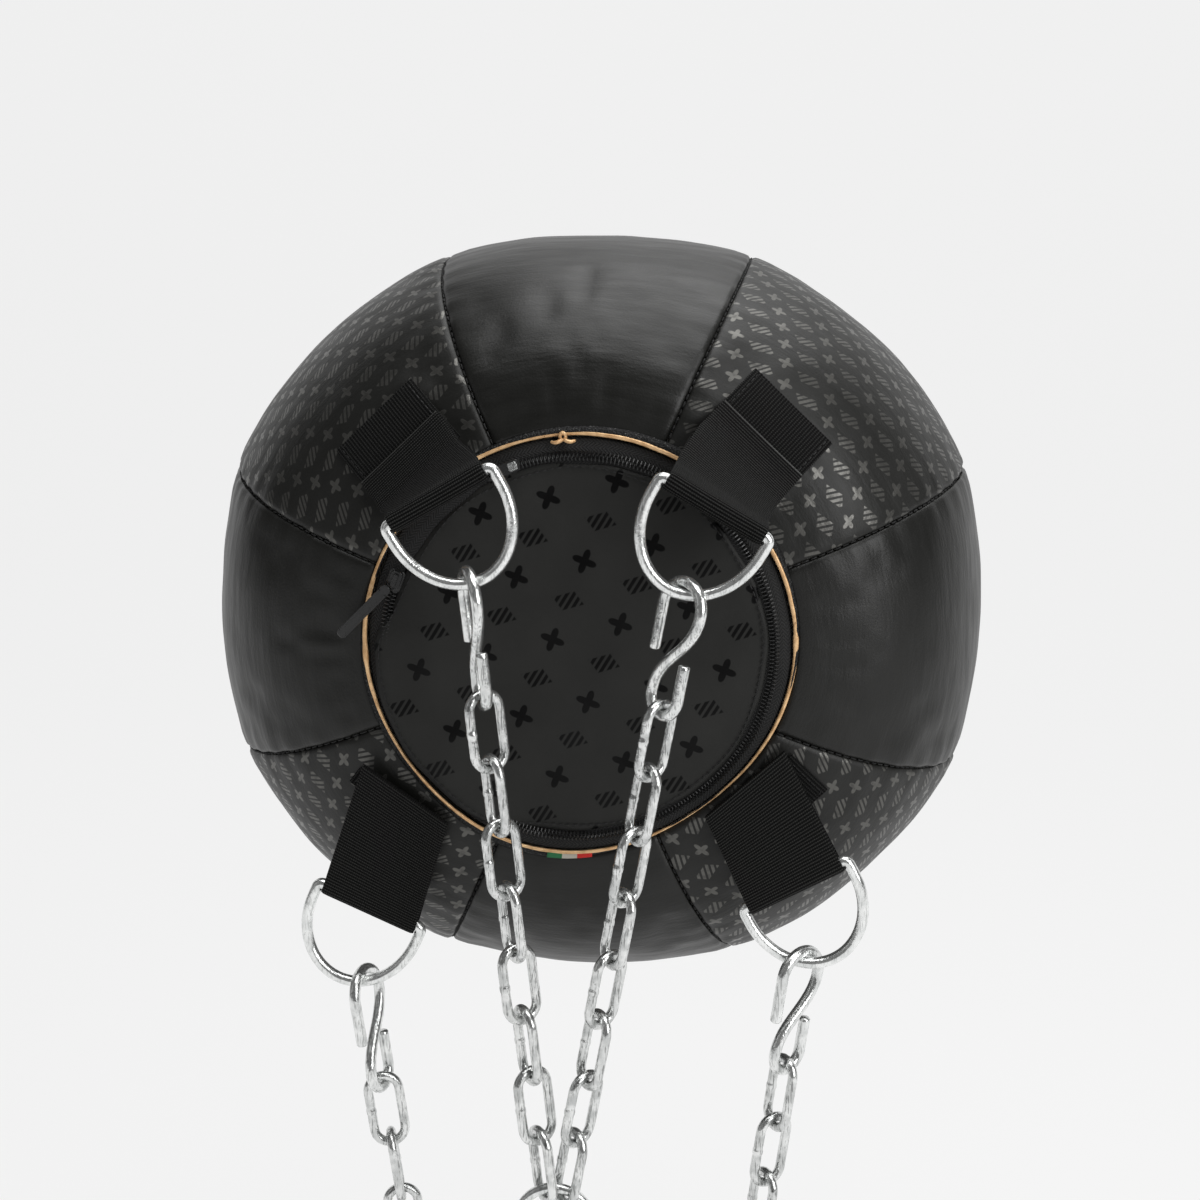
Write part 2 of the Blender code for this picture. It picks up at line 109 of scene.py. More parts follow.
# Straps
WEB_HALF, WEB_T = 0.025, 0.0015
PATCH_T, PATCH_LIFT = 0.0018, 0.0014
PATCH_NEAR = 0.005
PATCH_FAR = {"upper_left": 0.040, "upper_right": 0.040, "lower_left": 0.014, "lower_right": 0.030}
UPPER_RIBS, LOWER_RIBS, PATCH_RIBS = 0.0013, 0.0015, 0.0016
STRAP_ANGLE = {"upper_left": 133, "upper_right": 47, "lower_left": 235, "lower_right": 312}
FOLD_MIDDLE = {
    "upper_left": (-0.0697, -0.0020, 0.0808),
    "upper_right": (0.0705, -0.0020, 0.0862),
    "lower_left": (-0.0835, -0.0070, -0.0713),
    "lower_right": (0.0795, -0.0070, -0.0623),
}
BAR_MIDDLE = {
    "upper_left": (-0.0590, -0.046, 0.0790),
    "upper_right": (0.0650, -0.046, 0.0755),
    "lower_left": (-0.1045, 0.006, -0.1325),
    "lower_right": (0.1040, -0.002, -0.1130),
}
BAR_SLOPE = {"upper_left": 30, "upper_right": -30, "lower_left": -24, "lower_right": 28}
# How far out from the fold, and how high, the outer layer of an upper loop meets the patch
SEWN_ON = ((0.0030, 0.0130), (0.0080, 0.0080), (0.0130, 0.0050), (0.0170, 0.0040), (0.0200, 0.0036))

# Wire goods
D_WIRE, D_HALF, D_LEG, D_BOW, D_CORNER = 0.00275, 0.028, 0.008, 0.034, 0.0028
HOOK_WIRE, HOOK_TOP_R, HOOK_LOW_R, HOOK_RISE = 0.00275, 0.0127, 0.009, 0.0405
HOOK_TOP_LEG, HOOK_LOW_LEG, STEM_PULL = 0.022, 0.017, 0.0175
LINK_WIRE, LINK_HALF, PITCH = 0.00235, 0.00775, 0.0306
RING_WIRE, RING_R = 0.0025, 0.0175
PLAY = 0.0003
HOOK_TOP_DROP = HOOK_TOP_R - HOOK_WIRE - D_WIRE - PLAY  # from the D-ring wire's centre to the top bend's
HOOK_SPAN = HOOK_TOP_DROP + HOOK_RISE + HOOK_LOW_R - HOOK_WIRE - LINK_WIRE - PLAY
HOOK_TURN = {"upper_left": -68, "upper_right": -46, "lower_left": 74, "lower_right": 46}
LINK_TURN = {
    "upper_left": (36, -56),
    "upper_right": (46, -54),
    "lower_left": (12, -78),
    "lower_right": (-56, 34),
}
LINK_HALF_SPAN = (PITCH + 2 * LINK_WIRE + PLAY) / 2
LINK_WELD, RING_WELD = 0.10, 0.06
UPPER_LINKS, LOWER_LINKS, JOINED_LINKS = 8, 5, 3

AXIS = np.array((0.0, 1.0, 0.0))
INSIDE = (0, 0.16, 0)  # x, depth and z of a place in the bag's middle, from which "outwards" is reckoned

# Lights and camera
LAMPS = {
    "overhead": ((2.0, 1.3), 27, (0.25, -0.25, 1.5), (0, -0.2, 0)),
    "front_right": ((1.1, 1.6), 24, (1.5, -1.6, 0.7), (0, -0.3, -0.05)),
    "front_left": ((0.4, 1.4), 0.6, (-1.6, -1.3, 0.5), (0, -0.3, -0.05)),
}
CAMERA_AZIMUTH, CAMERA_ELEVATION, CAMERA_DISTANCE = 4.6, 11, 1.025
CAMERA_TARGET, CAMERA_LENS, CAMERA_SENSOR = (0, -0.22, 0), 57, 36


# Meshes as (points, faces) pairs

def unit(v):
    """Vectors scaled to length 1."""
    v = np.asarray(v, float)
    return v / np.linalg.norm(v, axis=-1, keepdims=True)


def bell(value, width, power=2):
    """1 at 0, falling towards 0 beyond the width; a higher power gives it a flatter top."""
    return np.exp(-((value / width) ** power))


def lengths(line):
    """How far each point of a line is along it."""
    return np.concatenate([[0], np.cumsum(np.linalg.norm(np.diff(line, axis=0), axis=1))])


def read(line, at, wanted):
    """A line's points at the wanted lengths, its own points being at these."""
    return np.stack([np.interp(wanted, at, line[:, k]) for k in range(3)], -1)


def along(points, closed=False):
    """Unit tangents of a line of points."""
    if closed:
        return unit(np.roll(points, -1, 0) - np.roll(points, 1, 0))
    return unit(np.gradient(points, axis=0))


def carried(tangents, first):
    """A normal at each tangent, carried along without twist from the first one."""
    normals = [unit(first - tangents[0] * np.dot(first, tangents[0]))]
    for t in tangents[1:]:
        n = normals[-1] - t * np.dot(normals[-1], t)
        normals.append(unit(n))
    return np.array(normals)


def tube(line, radius, sides=12, closed=False, up=(0.137, 0.31, 0.94)):
    """A round wire along a line; radius is one number or one for each point."""
    line = np.asarray(line, float)
    radius = np.broadcast_to(np.asarray(radius, float), len(line)).copy()
    if not closed:
        bevel = 0.25
        head = unit(line[0] - line[1]) * bevel * radius[0]
        tail = unit(line[-1] - line[-2]) * bevel * radius[-1]
        line = np.vstack([line[0], line[0] - head, line[1:-1], line[-1] - tail, line[-1]])
        radius = np.concatenate([radius[:1] * (1 - bevel), radius, radius[-1:] * (1 - bevel)])
    tangents = along(line, closed)
    normal = carried(tangents, np.asarray(up, float))
    if closed:
        last, first = normal[-1], normal[0]
        t = tangents[0]
        last = unit(last - t * np.dot(last, t))
        twist = math.atan2(np.dot(np.cross(last, first), t), np.dot(last, first))
        spin = np.linspace(0, twist, len(line))
    else:
        spin = np.zeros(len(line))
    side = np.cross(tangents, normal)
    turn = np.linspace(0, math.tau, sides, endpoint=False)
    angle = turn[None, :] + spin[:, None]
    rings = (
        line[:, None]
        + (normal[:, None] * np.cos(angle)[..., None] + side[:, None] * np.sin(angle)[..., None])
        * radius[:, None, None]
    )
    faces = ring_faces(len(line), sides, closed)
    if not closed:
        faces.append(tuple(reversed(range(sides))))
        faces.append(tuple((len(line) - 1) * sides + k for k in range(sides)))
    return rings.reshape(-1, 3), faces


def ring_faces(rows, sides, closed):
    faces = []
    for i in range(rows if closed else rows - 1):
        j = (i + 1) % rows
        for k in range(sides):
            m = (k + 1) % sides
            faces.append((i * sides + k, i * sides + m, j * sides + m, j * sides + k))
    return faces


def grid_faces(rows, columns):
    return [
        (i * columns + j, i * columns + j + 1, (i + 1) * columns + j + 1, (i + 1) * columns + j)
        for i in range(rows - 1)
        for j in range(columns - 1)
    ]


def merged(parts):
    points, faces, start = [], [], 0
    for p, f in parts:
        points.append(p)
        faces.extend(tuple(start + v for v in face) for face in f)
        start += len(p)
    return np.vstack(points), faces


def flipped(faces):
    """Faces that look the other way."""
    return [tuple(reversed(face)) for face in faces]


def in_scene(name, data):
    """A new object in the scene that shows this data."""
    made = bpy.data.objects.new(name, data)
    bpy.context.scene.collection.objects.link(made)
    return made


def piece(name, part, look, body, node=None, sharp=38, cloth=None):
    """A shown mesh that rides on a body and may replace a CAD node.

    Its look gives the material (the slot it also holds is read but not used), and cloth the material's flat
    coordinates, in metres.
    """
    points, faces = part
    material, slot = LOOKS[look]
    data = bpy.data.meshes.new(name)
    data.from_pydata(np.asarray(points, float).tolist(), [], faces)
    data.update()
    data.shade_smooth()
    if sharp:
        data.set_sharp_from_angle(angle=math.radians(sharp))
    if cloth is not None:
        flat = data.attributes.new("cloth", "FLOAT_VECTOR", "POINT")
        flat.data.foreach_set("vector", np.asarray(cloth, np.float32).ravel())
    made = in_scene(name, data)
    data.materials.append(material)
    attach(made, body)
    if node:
        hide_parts(node)
    return made


def thicken(made, thickness, offset=-1):
    """Give a sheet its thickness, inward or about its middle."""
    sheet = made.modifiers.new("thickness", "SOLIDIFY")
    sheet.thickness = thickness
    sheet.offset = offset


def revolved(outline, steps):
    """A solid turned about the bag's axis from (radius, depth) points, the first and last on the axis."""
    turn = np.linspace(0, math.tau, steps, endpoint=False)
    outline = np.asarray(outline, float)
    rings = outline[1:-1]
    flat = round_axis(rings[:, :1], turn, LID_Y + rings[:, 1:]).reshape(-1, 3)
    faces = ring_faces(len(rings), steps, False)
    ends = np.array([(0, LID_Y + outline[0, 1], 0), (0, LID_Y + outline[-1, 1], 0)])
    first, last, base = len(flat), len(flat) + 1, (len(rings) - 1) * steps
    faces += [(first, (k + 1) % steps, k) for k in range(steps)]
    faces += [(last, base + k, base + (k + 1) % steps) for k in range(steps)]
    return np.vstack([flat, ends]), faces


def washer(outline, steps=220):
    """A closed ring turned about the bag's axis from a closed (radius, depth) outline."""
    turn = np.linspace(0, math.tau, steps, endpoint=False)
    reach, depth = np.asarray(outline, float).T
    points = round_axis(reach, turn[:, None], LID_Y + depth)
    return points.reshape(-1, 3), ring_faces(steps, len(reach), True)


def place(x, depth, z):
    """A point at a depth behind the lid's plane."""
    return np.array((x, LID_Y + depth, z))


def round_axis(reach, angle, y):
    """Points at a reach from the bag's axis and an angle in plan in radians."""
    x, y, z = np.broadcast_arrays(reach * np.cos(angle), y, reach * np.sin(angle))
    return np.stack([x, y, z], -1)


def in_plan(angle):
    """Outward direction at an angle in plan, in degrees."""
    a = math.radians(angle)
    return np.array((math.cos(a), 0, math.sin(a)))


def smooth_noise(points, scale, seed=0.0):
    """Noise in -1 to 1 with features of about that scale, in metres."""
    return np.array([noise.noise(Vector(p) / scale + Vector((seed, seed * 1.7, -seed))) for p in points])


# Materials, made of nodes

def operator(name, swapped=False):
    """A method that puts a math node between a value and another value or number."""

    def apply(self, other):
        return self.graph.math(name, *((other, self) if swapped else (self, other)))

    return apply


class Value:
    """A node socket that adds and multiplies as a number does."""

    def __init__(self, graph, socket):
        self.graph, self.socket = graph, socket

    __add__ = __radd__ = operator("ADD")
    __sub__, __rsub__ = operator("SUBTRACT"), operator("SUBTRACT", True)
    __mul__ = __rmul__ = operator("MULTIPLY")
    __truediv__ = operator("DIVIDE")


class Graph:
    """A material under construction."""

    def __init__(self, name, color, roughness, metallic=0.0, specular=0.5):
        self.material = bpy.data.materials.new(name)
        self.material.use_nodes = True
        self.tree = self.material.node_tree
        self.shader = self.tree.nodes["Principled BSDF"]
        self.shader.inputs["Base Color"].default_value = (*color, 1)
        self.shader.inputs["Roughness"].default_value = roughness
        self.shader.inputs["Metallic"].default_value = metallic
        self.shader.inputs["Specular IOR Level"].default_value = specular
        self.height = None

    def node(self, kind, settings=None, **inputs):
        made = self.tree.nodes.new("ShaderNode" + kind)
        for key, value in (settings or {}).items():
            setattr(made, key, value)
        for key, value in inputs.items():
            self.feed(made.inputs[key.replace("_", " ")], value)
        return made

    def feed(self, socket, value):
        if isinstance(value, Value):
            self.tree.links.new(value.socket, socket)
        elif isinstance(value, bpy.types.NodeSocket):
            self.tree.links.new(value, socket)
        else:
            socket.default_value = value

    def math(self, operation, *values):
        made = self.tree.nodes.new("ShaderNodeMath")
        made.operation = operation
        for socket, value in zip(made.inputs, values):
            self.feed(socket, value)
        return Value(self, made.outputs[0])

    def steps(self, value, low, high):
        """0 below low, 1 above high, and smooth between them."""
        made = self.tree.nodes.new("ShaderNodeMapRange")
        made.interpolation_type = "SMOOTHSTEP"
        self.feed(made.inputs["Value"], value)
        made.inputs["From Min"].default_value = low
        made.inputs["From Max"].default_value = high
        return Value(self, made.outputs[0])

    def place(self):
        """Object coordinates, in metres: the row frame, as every piece's origin is the frame's."""
        return self.node("TexCoord").outputs["Object"]

    def split(self, vector):
        made = self.node("SeparateXYZ", Vector=vector)
        return [Value(self, socket) for socket in made.outputs]

    def cloth(self):
        """Flat coordinates along the sewn piece, in metres, as three values."""
        return self.split(self.node("Attribute", {"attribute_name": "cloth"}).outputs["Vector"])

    def noise(self, size, vector=None, detail=3.0, stretch=(1, 1, 1), roughness=0.5):
        vector = vector if vector is not None else self.place()
        scaled = self.node("Mapping", Vector=vector, Scale=stretch)
        settings = {"Scale": 1 / size, "Detail": detail, "Roughness": roughness}
        made = self.node("TexNoise", Vector=scaled.outputs[0], **settings)
        return Value(self, made.outputs["Fac"])

    def cells(self, size, vector=None):
        vector = vector if vector is not None else self.place()
        made = self.node("TexVoronoi", {"feature": "F1"}, Vector=vector, Scale=1 / size)
        return Value(self, made.outputs["Distance"])

    def combined(self, x, y, z):
        return self.node("CombineXYZ", X=x, Y=y, Z=z).outputs[0]

    def color(self, factor, low, high):
        made = self.node("Mix", {"data_type": "RGBA"})
        self.feed(made.inputs["Factor"], factor)
        for key, value in (("A", low), ("B", high)):
            socket = next(s for s in made.inputs if s.name == key and s.type == "RGBA")
            self.feed(socket, (*value, 1) if isinstance(value, tuple) else value)
        return next(s for s in made.outputs if s.type == "RGBA")

    def bump(self, height, depth, strength=1.0):
        made = self.node("Bump", Height=height, Distance=depth, Strength=strength)
        if self.height is not None:
            self.tree.links.new(self.height, made.inputs["Normal"])
        self.height = made.outputs["Normal"]
        self.tree.links.new(self.height, self.shader.inputs["Normal"])

    def set(self, name, value):
        self.feed(self.shader.inputs[name], value)


def repeated(value, graph):
    """The value's distance from the middle of its unit cell, -0.5 to 0.5."""
    return graph.math("FRACT", value) - 0.5


def marks_of(graph, x, y, mark, blot, slant):
    """A slanted striped lozenge and a four-petalled blot about (0, 0), each 1 on the print and 0 off it."""
    leaning = x + y * slant
    reach = graph.math("ABSOLUTE", leaning) / (mark[0] / 2) + graph.math("ABSOLUTE", y) / (mark[1] / 2)
    lozenge = graph.steps(reach, 1.0, 0.86)
    stripes = graph.steps(graph.math("SINE", leaning * (math.tau * 5.5 / mark[0])), -0.55, 0.1)
    radius = graph.math("SQRT", x * x + y * y)
    angle = graph.math("ARCTAN2", y, x)
    petals = (graph.math("COSINE", angle * 4.0 + 0.6) * 0.30 + 0.70) * (blot / 2)
    star = graph.steps(radius - petals, 0.0004, -0.0003)
    return lozenge * stripes, star


def lozenges_and_blots(graph, u, v, pitch, rows, mark, blot, slant):
    """A print in staggered rows, in which lozenges alternate with blots."""
    line = graph.math("FLOOR", v / rows)
    column = u / pitch + line * 0.5
    odd = graph.math("MODULO", graph.math("ABSOLUTE", graph.math("FLOOR", column) + line), 2.0)
    x = repeated(column, graph) * pitch
    y = repeated(v / rows, graph) * rows
    lozenge, star = marks_of(graph, x, y, mark, blot, slant)
    return lozenge * odd + star * (1.0 - odd)


def slanting_rows(graph, x, z, first, second, mark, blot, slant, turn):
    """A print on a lattice with steps first and second: columns of lozenges, then columns of blots."""
    area = first[0] * second[1] - first[1] * second[0]
    p = (x * second[1] - z * second[0]) / area
    q = (z * first[0] - x * first[1]) / area
    column = graph.math("FLOOR", q)
    odd = graph.math("MODULO", graph.math("ABSOLUTE", column), 2.0)
    p, q = repeated(p, graph), repeated(q, graph)
    dx = p * first[0] + q * second[0]
    dz = p * first[1] + q * second[1]
    cos, sin = math.cos(math.radians(turn)), math.sin(math.radians(turn))
    lozenge, star = marks_of(graph, dx * cos + dz * sin, dz * cos - dx * sin, mark, blot, slant)
    return lozenge * odd + star * (1.0 - odd)


def leatherette(name, printed=False):
    look = Graph(name, (0.0070, 0.0070, 0.0065), 0.42, specular=0.36)
    u, v, _ = look.cloth()
    flat = look.combined(u, v, 0.0)
    streaks = look.noise(0.012, flat, 4.0, (0.35, 1.6, 1), 0.6)
    cloudy = look.noise(0.05, flat, 3.0)
    grain = look.cells(0.0011, flat)
    fine = look.noise(0.0006, flat, 2.0)
    ground = look.color(cloudy, (0.0045, 0.0045, 0.0038), (0.0085, 0.0085, 0.0072))
    shine = look.steps(streaks, 0.3, 0.75) * 0.10 + cloudy * 0.06 + 0.34
    if printed:
        marks = lozenges_and_blots(look, u, v, **PANEL_PRINT)
        worn = look.steps(look.noise(0.0035, flat, 4.0), 0.28, 0.55)
        marks = marks * (worn * 0.45 + 0.55)
        ground = look.color(marks, ground, (0.115, 0.113, 0.106))
        look.set("Metallic", marks * 0.95)
        shine = shine + 0.06 - marks * 0.10
        look.bump(marks, 0.00003, 0.5)
    look.set("Base Color", ground)
    look.set("Roughness", shine)
    look.bump(streaks, 0.0011, 0.35)
    look.bump(grain, 0.00008, 0.5)
    look.bump(fine, 0.00003, 0.5)
    return look.material


def lid_leatherette(name):
    look = Graph(name, (0.02, 0.02, 0.02), 0.5, specular=0.14)
    x, _, z = look.split(look.place())
    marks = slanting_rows(look, x, z, **LID_PRINT)
    cloudy = look.noise(0.03, None, 4.0)
    ground = look.color(cloudy, (0.0200, 0.0200, 0.0190), (0.0290, 0.0290, 0.0275))
    look.set("Base Color", look.color(marks, ground, (0.0006, 0.0006, 0.0006)))
    look.set("Roughness", cloudy * 0.08 + 0.46 - marks * 0.12)
    look.bump(look.noise(0.018, None, 4.0), 0.0012, 0.4)
    look.bump(marks, 0.00006, 0.6)
    look.bump(look.cells(0.0010), 0.00005, 0.5)
    return look.material


def webbing(name, pitch, pale, across=True):
    """Ribbed webbing: u runs across the strap and v along it. pale is the color of the ribs' crests,
    painted on as their highlight, while the troughs are painted near black as shade.
    """
    look = Graph(name, (0.006, 0.006, 0.006), 0.85, specular=0.16)
    u, v, _ = look.cloth()
    rib = v if across else u
    other = u if across else v
    flat = look.combined(u, v, 0.0)
    ribs = look.math("SINE", rib * (math.tau / pitch)) * 0.5 + 0.5
    threads = look.math("SINE", other * (math.tau / 0.0011)) * 0.5 + 0.5
    fuzz = look.noise(0.0007, flat, 3.0, (1, 1, 1), 0.7)
    # the ribs' crests are painted pale as a highlight and the troughs between ribs and threads near black
    # as shade; the fuzz varies the tone at random
    tone = ribs * (threads * 0.35 + 0.65) + (fuzz - 0.5) * 0.5
    crest_light_and_trough_shade = look.steps(tone, 0.25, 0.95)
    look.set("Base Color", look.color(crest_light_and_trough_shade, (0.0007, 0.0007, 0.0007), pale))
    look.bump(threads * ribs, 0.00040, 0.9)
    look.bump(fuzz, 0.00022, 0.7)
    return look.material


def woven_tape(name):
    """Zip tape with a herringbone weave that runs round the lid, painted lighter on its raised threads and
    darker between them as light and shade.
    """
    look = Graph(name, (0.006, 0.006, 0.006), 0.78, specular=0.4)
    x, _, z = look.split(look.place())
    radius = look.math("SQRT", x * x + z * z)
    angle = look.math("ARCTAN2", z, x)
    zigzag = look.math("PINGPONG", radius, 0.0022)
    weave = look.math("SINE", angle * 330.0 + zigzag * 4200.0) * 0.5 + 0.5
    fuzz = look.noise(0.0006, None, 3.0)
    # the raised weave is painted lighter and the hollows between its threads darker, as painted light and
    # shade; the fuzz varies it at random
    tone = weave * 0.7 + fuzz * 0.3
    look.set("Base Color", look.color(tone, (0.002, 0.002, 0.002), (0.020, 0.020, 0.020)))
    look.bump(weave, 0.00022, 0.8)
    look.bump(fuzz, 0.00010, 0.6)
    return look.material


def zinc(name, streak_and_reflection_darkening, dark, pale, dull=0.0):
    """Galvanised wire: streaky is how much its streaks darken it between the dark and pale greys; the
    streaks are partly drawing marks and partly painted dark reflections along the wire.
    """
    look = Graph(name, (pale, pale, pale), 0.2, 0.88)
    cloudy = look.noise(0.006, None, 4.0)
    fine = look.noise(0.0009, None, 4.0, (1, 1, 1), 0.7)
    streaks = look.noise(0.0008, None, 3.0, (1, 1, 0.10), 0.6)
    tint = dark, dark * 1.02, dark * 1.01
    base = look.color(look.steps(cloudy, 0.3, 0.7), tint, (pale, pale * 1.01, pale))
    pits = look.steps(look.noise(0.0022, None, 5.0, (1, 1, 1), 0.65), 0.36, 0.30)
    # dark streaks along the wire: partly drawing marks, partly painted dark reflections; the pits are the
    # zinc's own pitting
    worn = look.math("MAXIMUM", pits * 0.6, look.steps(streaks, 0.47, 0.36) * streak_and_reflection_darkening)
    look.set("Base Color", look.color(worn, base, (0.17, 0.175, 0.17)))
    look.set("Roughness", cloudy * 0.10 + fine * 0.08 + 0.05 + dull)
    look.bump(streaks, 0.00022, 0.6)
    look.bump(look.noise(0.0035, None, 4.0), 0.00030, 0.5)
    look.bump(fine, 0.00006, 0.5)
    return look.material


def gold_cord(name):
    look = Graph(name, (0.62, 0.40, 0.22), 0.33, 0.25)
    cloudy = look.noise(0.004, None, 4.0)
    nicks = look.steps(look.noise(0.0016, None, 3.0), 0.33, 0.27)
    base = look.color(look.steps(cloudy, 0.3, 0.75), (0.60, 0.35, 0.16), (0.90, 0.60, 0.32))
    look.set("Base Color", look.color(nicks * 0.5, base, (0.12, 0.06, 0.03)))
    look.set("Roughness", cloudy * 0.2 + 0.24)
    look.bump(look.noise(0.0012, None, 3.0), 0.00015, 0.6)
    return look.material


def plain(name, color, roughness, metallic=0.0, grain=0.0008, depth=0.00008):
    look = Graph(name, color, roughness, metallic)
    mottle = look.noise(grain, None, 4.0)
    darker = tuple(c * 0.6 for c in color)
    lighter = tuple(min(1, c * 1.35) for c in color)
    look.set("Base Color", look.color(mottle, darker, lighter))
    look.set("Roughness", mottle * 0.16 + (roughness - 0.08))
    look.bump(mottle, depth, 0.6)
    return look.material


def speckled(name):
    """Rough black cloth with pale flecks, and painted shade between its pebbles."""
    look = Graph(name, (0.008, 0.008, 0.008), 0.6, specular=0.3)
    pebbles = look.cells(0.0011)
    flecks = look.steps(look.noise(0.0007, None, 3.0, (1, 1, 1), 0.7), 0.60, 0.68)
    # the pebbles are painted lighter on their domes and darker towards their edges, as painted shade
    # between them; the pale flecks are the cloth's own colour
    ground = look.color(look.steps(pebbles, 0.2, 0.7), (0.014, 0.014, 0.014), (0.002, 0.002, 0.002))
    look.set("Base Color", look.color(flecks, ground, (0.16, 0.16, 0.155)))
    look.bump(1.0 - pebbles, 0.0005, 0.9)
    return look.material


def tricolor(name):
    look = Graph(name, (0.3, 0.3, 0.3), 0.7)
    u, v, _ = look.cloth()
    first = look.color(look.steps(u, 0.0072, 0.0074), (0.02, 0.16, 0.06), (0.50, 0.47, 0.40))
    look.set("Base Color", look.color(look.steps(u, 0.0146, 0.0148), first, (0.60, 0.02, 0.015)))
    weave = look.math("SINE", u * (math.tau / 0.0006)) * look.math("SINE", v * (math.tau / 0.0006))
    look.bump(weave, 0.0001, 0.8)
    return look.material


# The shell

def profile(t):
    """Radius and depth: t runs 0 to 1 over the shoulder and 1 to 2 over the back."""
    t = np.asarray(t, float)
    a = np.clip(t, 0, 1) * math.pi / 2
    power = 2 / SHOULDER_POWER
    b = (np.clip(t, 1, 2) - 1) * math.pi / 2
    front = t <= 1
    rise = GIRTH_R - RIM_R
    r = np.where(front, RIM_R + rise * np.sin(a) ** power, BASE_R + (GIRTH_R - BASE_R) * np.cos(b))
    level = GIRTH_DEPTH * (1 - np.clip(np.cos(a), 0, 1) ** power)
    depth = np.where(front, level, GIRTH_DEPTH + (BACK_DEPTH - GIRTH_DEPTH) * np.sin(b))
    return r, depth


def away_from(angle, middle):
    """Degrees from a middle angle in degrees, -180 to 180, of angles in radians."""
    return (np.degrees(angle) - middle + 180) % 360 - 180


def rim_pull(angle):
    """How far the hem draws the rim in from a true circle, for angles in radians."""
    return sum(size * bell(away_from(angle, middle), spread) for size, middle, spread in RIM_PULLS)


def drawn_in(part):
    """A piece of the lid or zip, moved in with the rim: fully at the rim and less towards the middle."""
    points = np.array(part[0], float)
    reach = np.hypot(points[:, 0], points[:, 2])
    pull = rim_pull(np.arctan2(points[:, 2], points[:, 0])) * np.clip(reach / RIM_R, 0, 1.1) ** 8
    points[:, [0, 2]] *= (1 - pull / np.maximum(reach, 0.001))[:, None]
    return points, part[1]


def shell_points(t, angle, lift=0.0, flat=PANEL_FLAT):
    """Points on the shell at profile places t and angles in radians, raised by lift."""
    t, angle = np.broadcast_arrays(np.asarray(t, float), np.asarray(angle, float))
    r0, d0 = profile(np.clip(t - 1e-3, 0, 2))
    r1, d1 = profile(np.clip(t + 1e-3, 0, 2))
    length = np.hypot(r1 - r0, d1 - d0)
    r, depth = profile(t)
    full = np.clip((r - RIM_R) / (GIRTH_R - RIM_R), 0, 1)
    r = r - rim_pull(angle) * (1 - full) ** 3
    across = ((angle * PANELS / math.tau + 0.5) % 1) * 2 - 1
    r = r * (1 - flat * full * (1 - across**2) + DIAGONAL_FULLNESS * full * np.sin(2 * angle) ** 2)
    r = r + lift * (d1 - d0) / length
    depth = depth - lift * (r1 - r0) / length
    return np.stack([r * np.cos(angle), LID_Y + depth, r * np.sin(angle) * (1 - SAG * full)], -1)


def meridian():
    """t and arc length along the shell from the rim."""
    t = np.linspace(0, 2, 2001)
    r, depth = profile(t)
    length = np.concatenate([[0], np.cumsum(np.hypot(np.diff(r), np.diff(depth)))])
    return t, length


def rows_of(count, first=0.0):
    """Profile places at equal arc lengths, and those lengths."""
    t, length = meridian()
    wanted = np.linspace(first, length[-1], count)
    return np.interp(wanted, length, t), wanted


def puffed(rows, columns):
    """How far a cloth simulation pushes the panels out between their pinned seams: a vector field."""
    t, _ = rows_of(rows)
    angle = np.linspace(0, math.tau, PANELS * columns, endpoint=False) + math.pi / PANELS
    start = shell_points(t[:, None], angle[None, :], -0.0008)
    count = PANELS * columns
    faces = ring_faces(rows, count, False)
    data = bpy.data.meshes.new("stuffing")
    data.from_pydata(start.reshape(-1, 3).tolist(), [], flipped(faces))
    bag = in_scene("stuffing", data)
    pins = bag.vertex_groups.new(name="pins")
    places = ((i, k) for i in range(rows) for k in range(count))
    held = [i * count + k for i, k in places if k % columns == 0 or i in (0, 1, rows - 1)]
    pins.add(held, 1.0, "REPLACE")
    fabric = bag.modifiers.new("cloth", "CLOTH").settings
    fabric.quality = 6
    fabric.mass = 0.4
    fabric.tension_stiffness = fabric.compression_stiffness = 40
    fabric.shear_stiffness = 20
    fabric.bending_stiffness = 4
    fabric.use_pressure = True
    fabric.uniform_pressure_force = 4
    fabric.vertex_group_mass = "pins"
    fabric.shrink_min = -0.006
    fabric.effector_weights.gravity = 0
    scene = bpy.context.scene
    for step in range(1, SIM_STEPS + 1):
        scene.frame_set(step)
    seen = bag.evaluated_get(bpy.context.evaluated_depsgraph_get())
    after = np.empty(len(data.vertices) * 3)
    seen.data.vertices.foreach_get("co", after)
    scene.frame_set(1)
    bpy.data.objects.remove(bag)
    moved = (after.reshape(start.shape) - start) * PUFF_SHARE
    size = np.linalg.norm(moved, axis=-1, keepdims=True)
    return moved * np.minimum(1, PUFF_LIMIT / np.maximum(size, 1e-9))


def sampled(field, row_share, column):
    """A field with a closed ring of columns read between its points."""
    rows, count = field.shape[:2]
    y = np.clip(row_share * (rows - 1), 0, rows - 1.001)
    i = y.astype(int)
    fy = (y - i)[..., None]
    k = np.floor(column).astype(int)
    fx = (column - k)[..., None]
    a = field[i, k % count] * (1 - fx) + field[i, (k + 1) % count] * fx
    b = field[i + 1, k % count] * (1 - fx) + field[i + 1, (k + 1) % count] * fx
    return a * (1 - fy) + b * fy


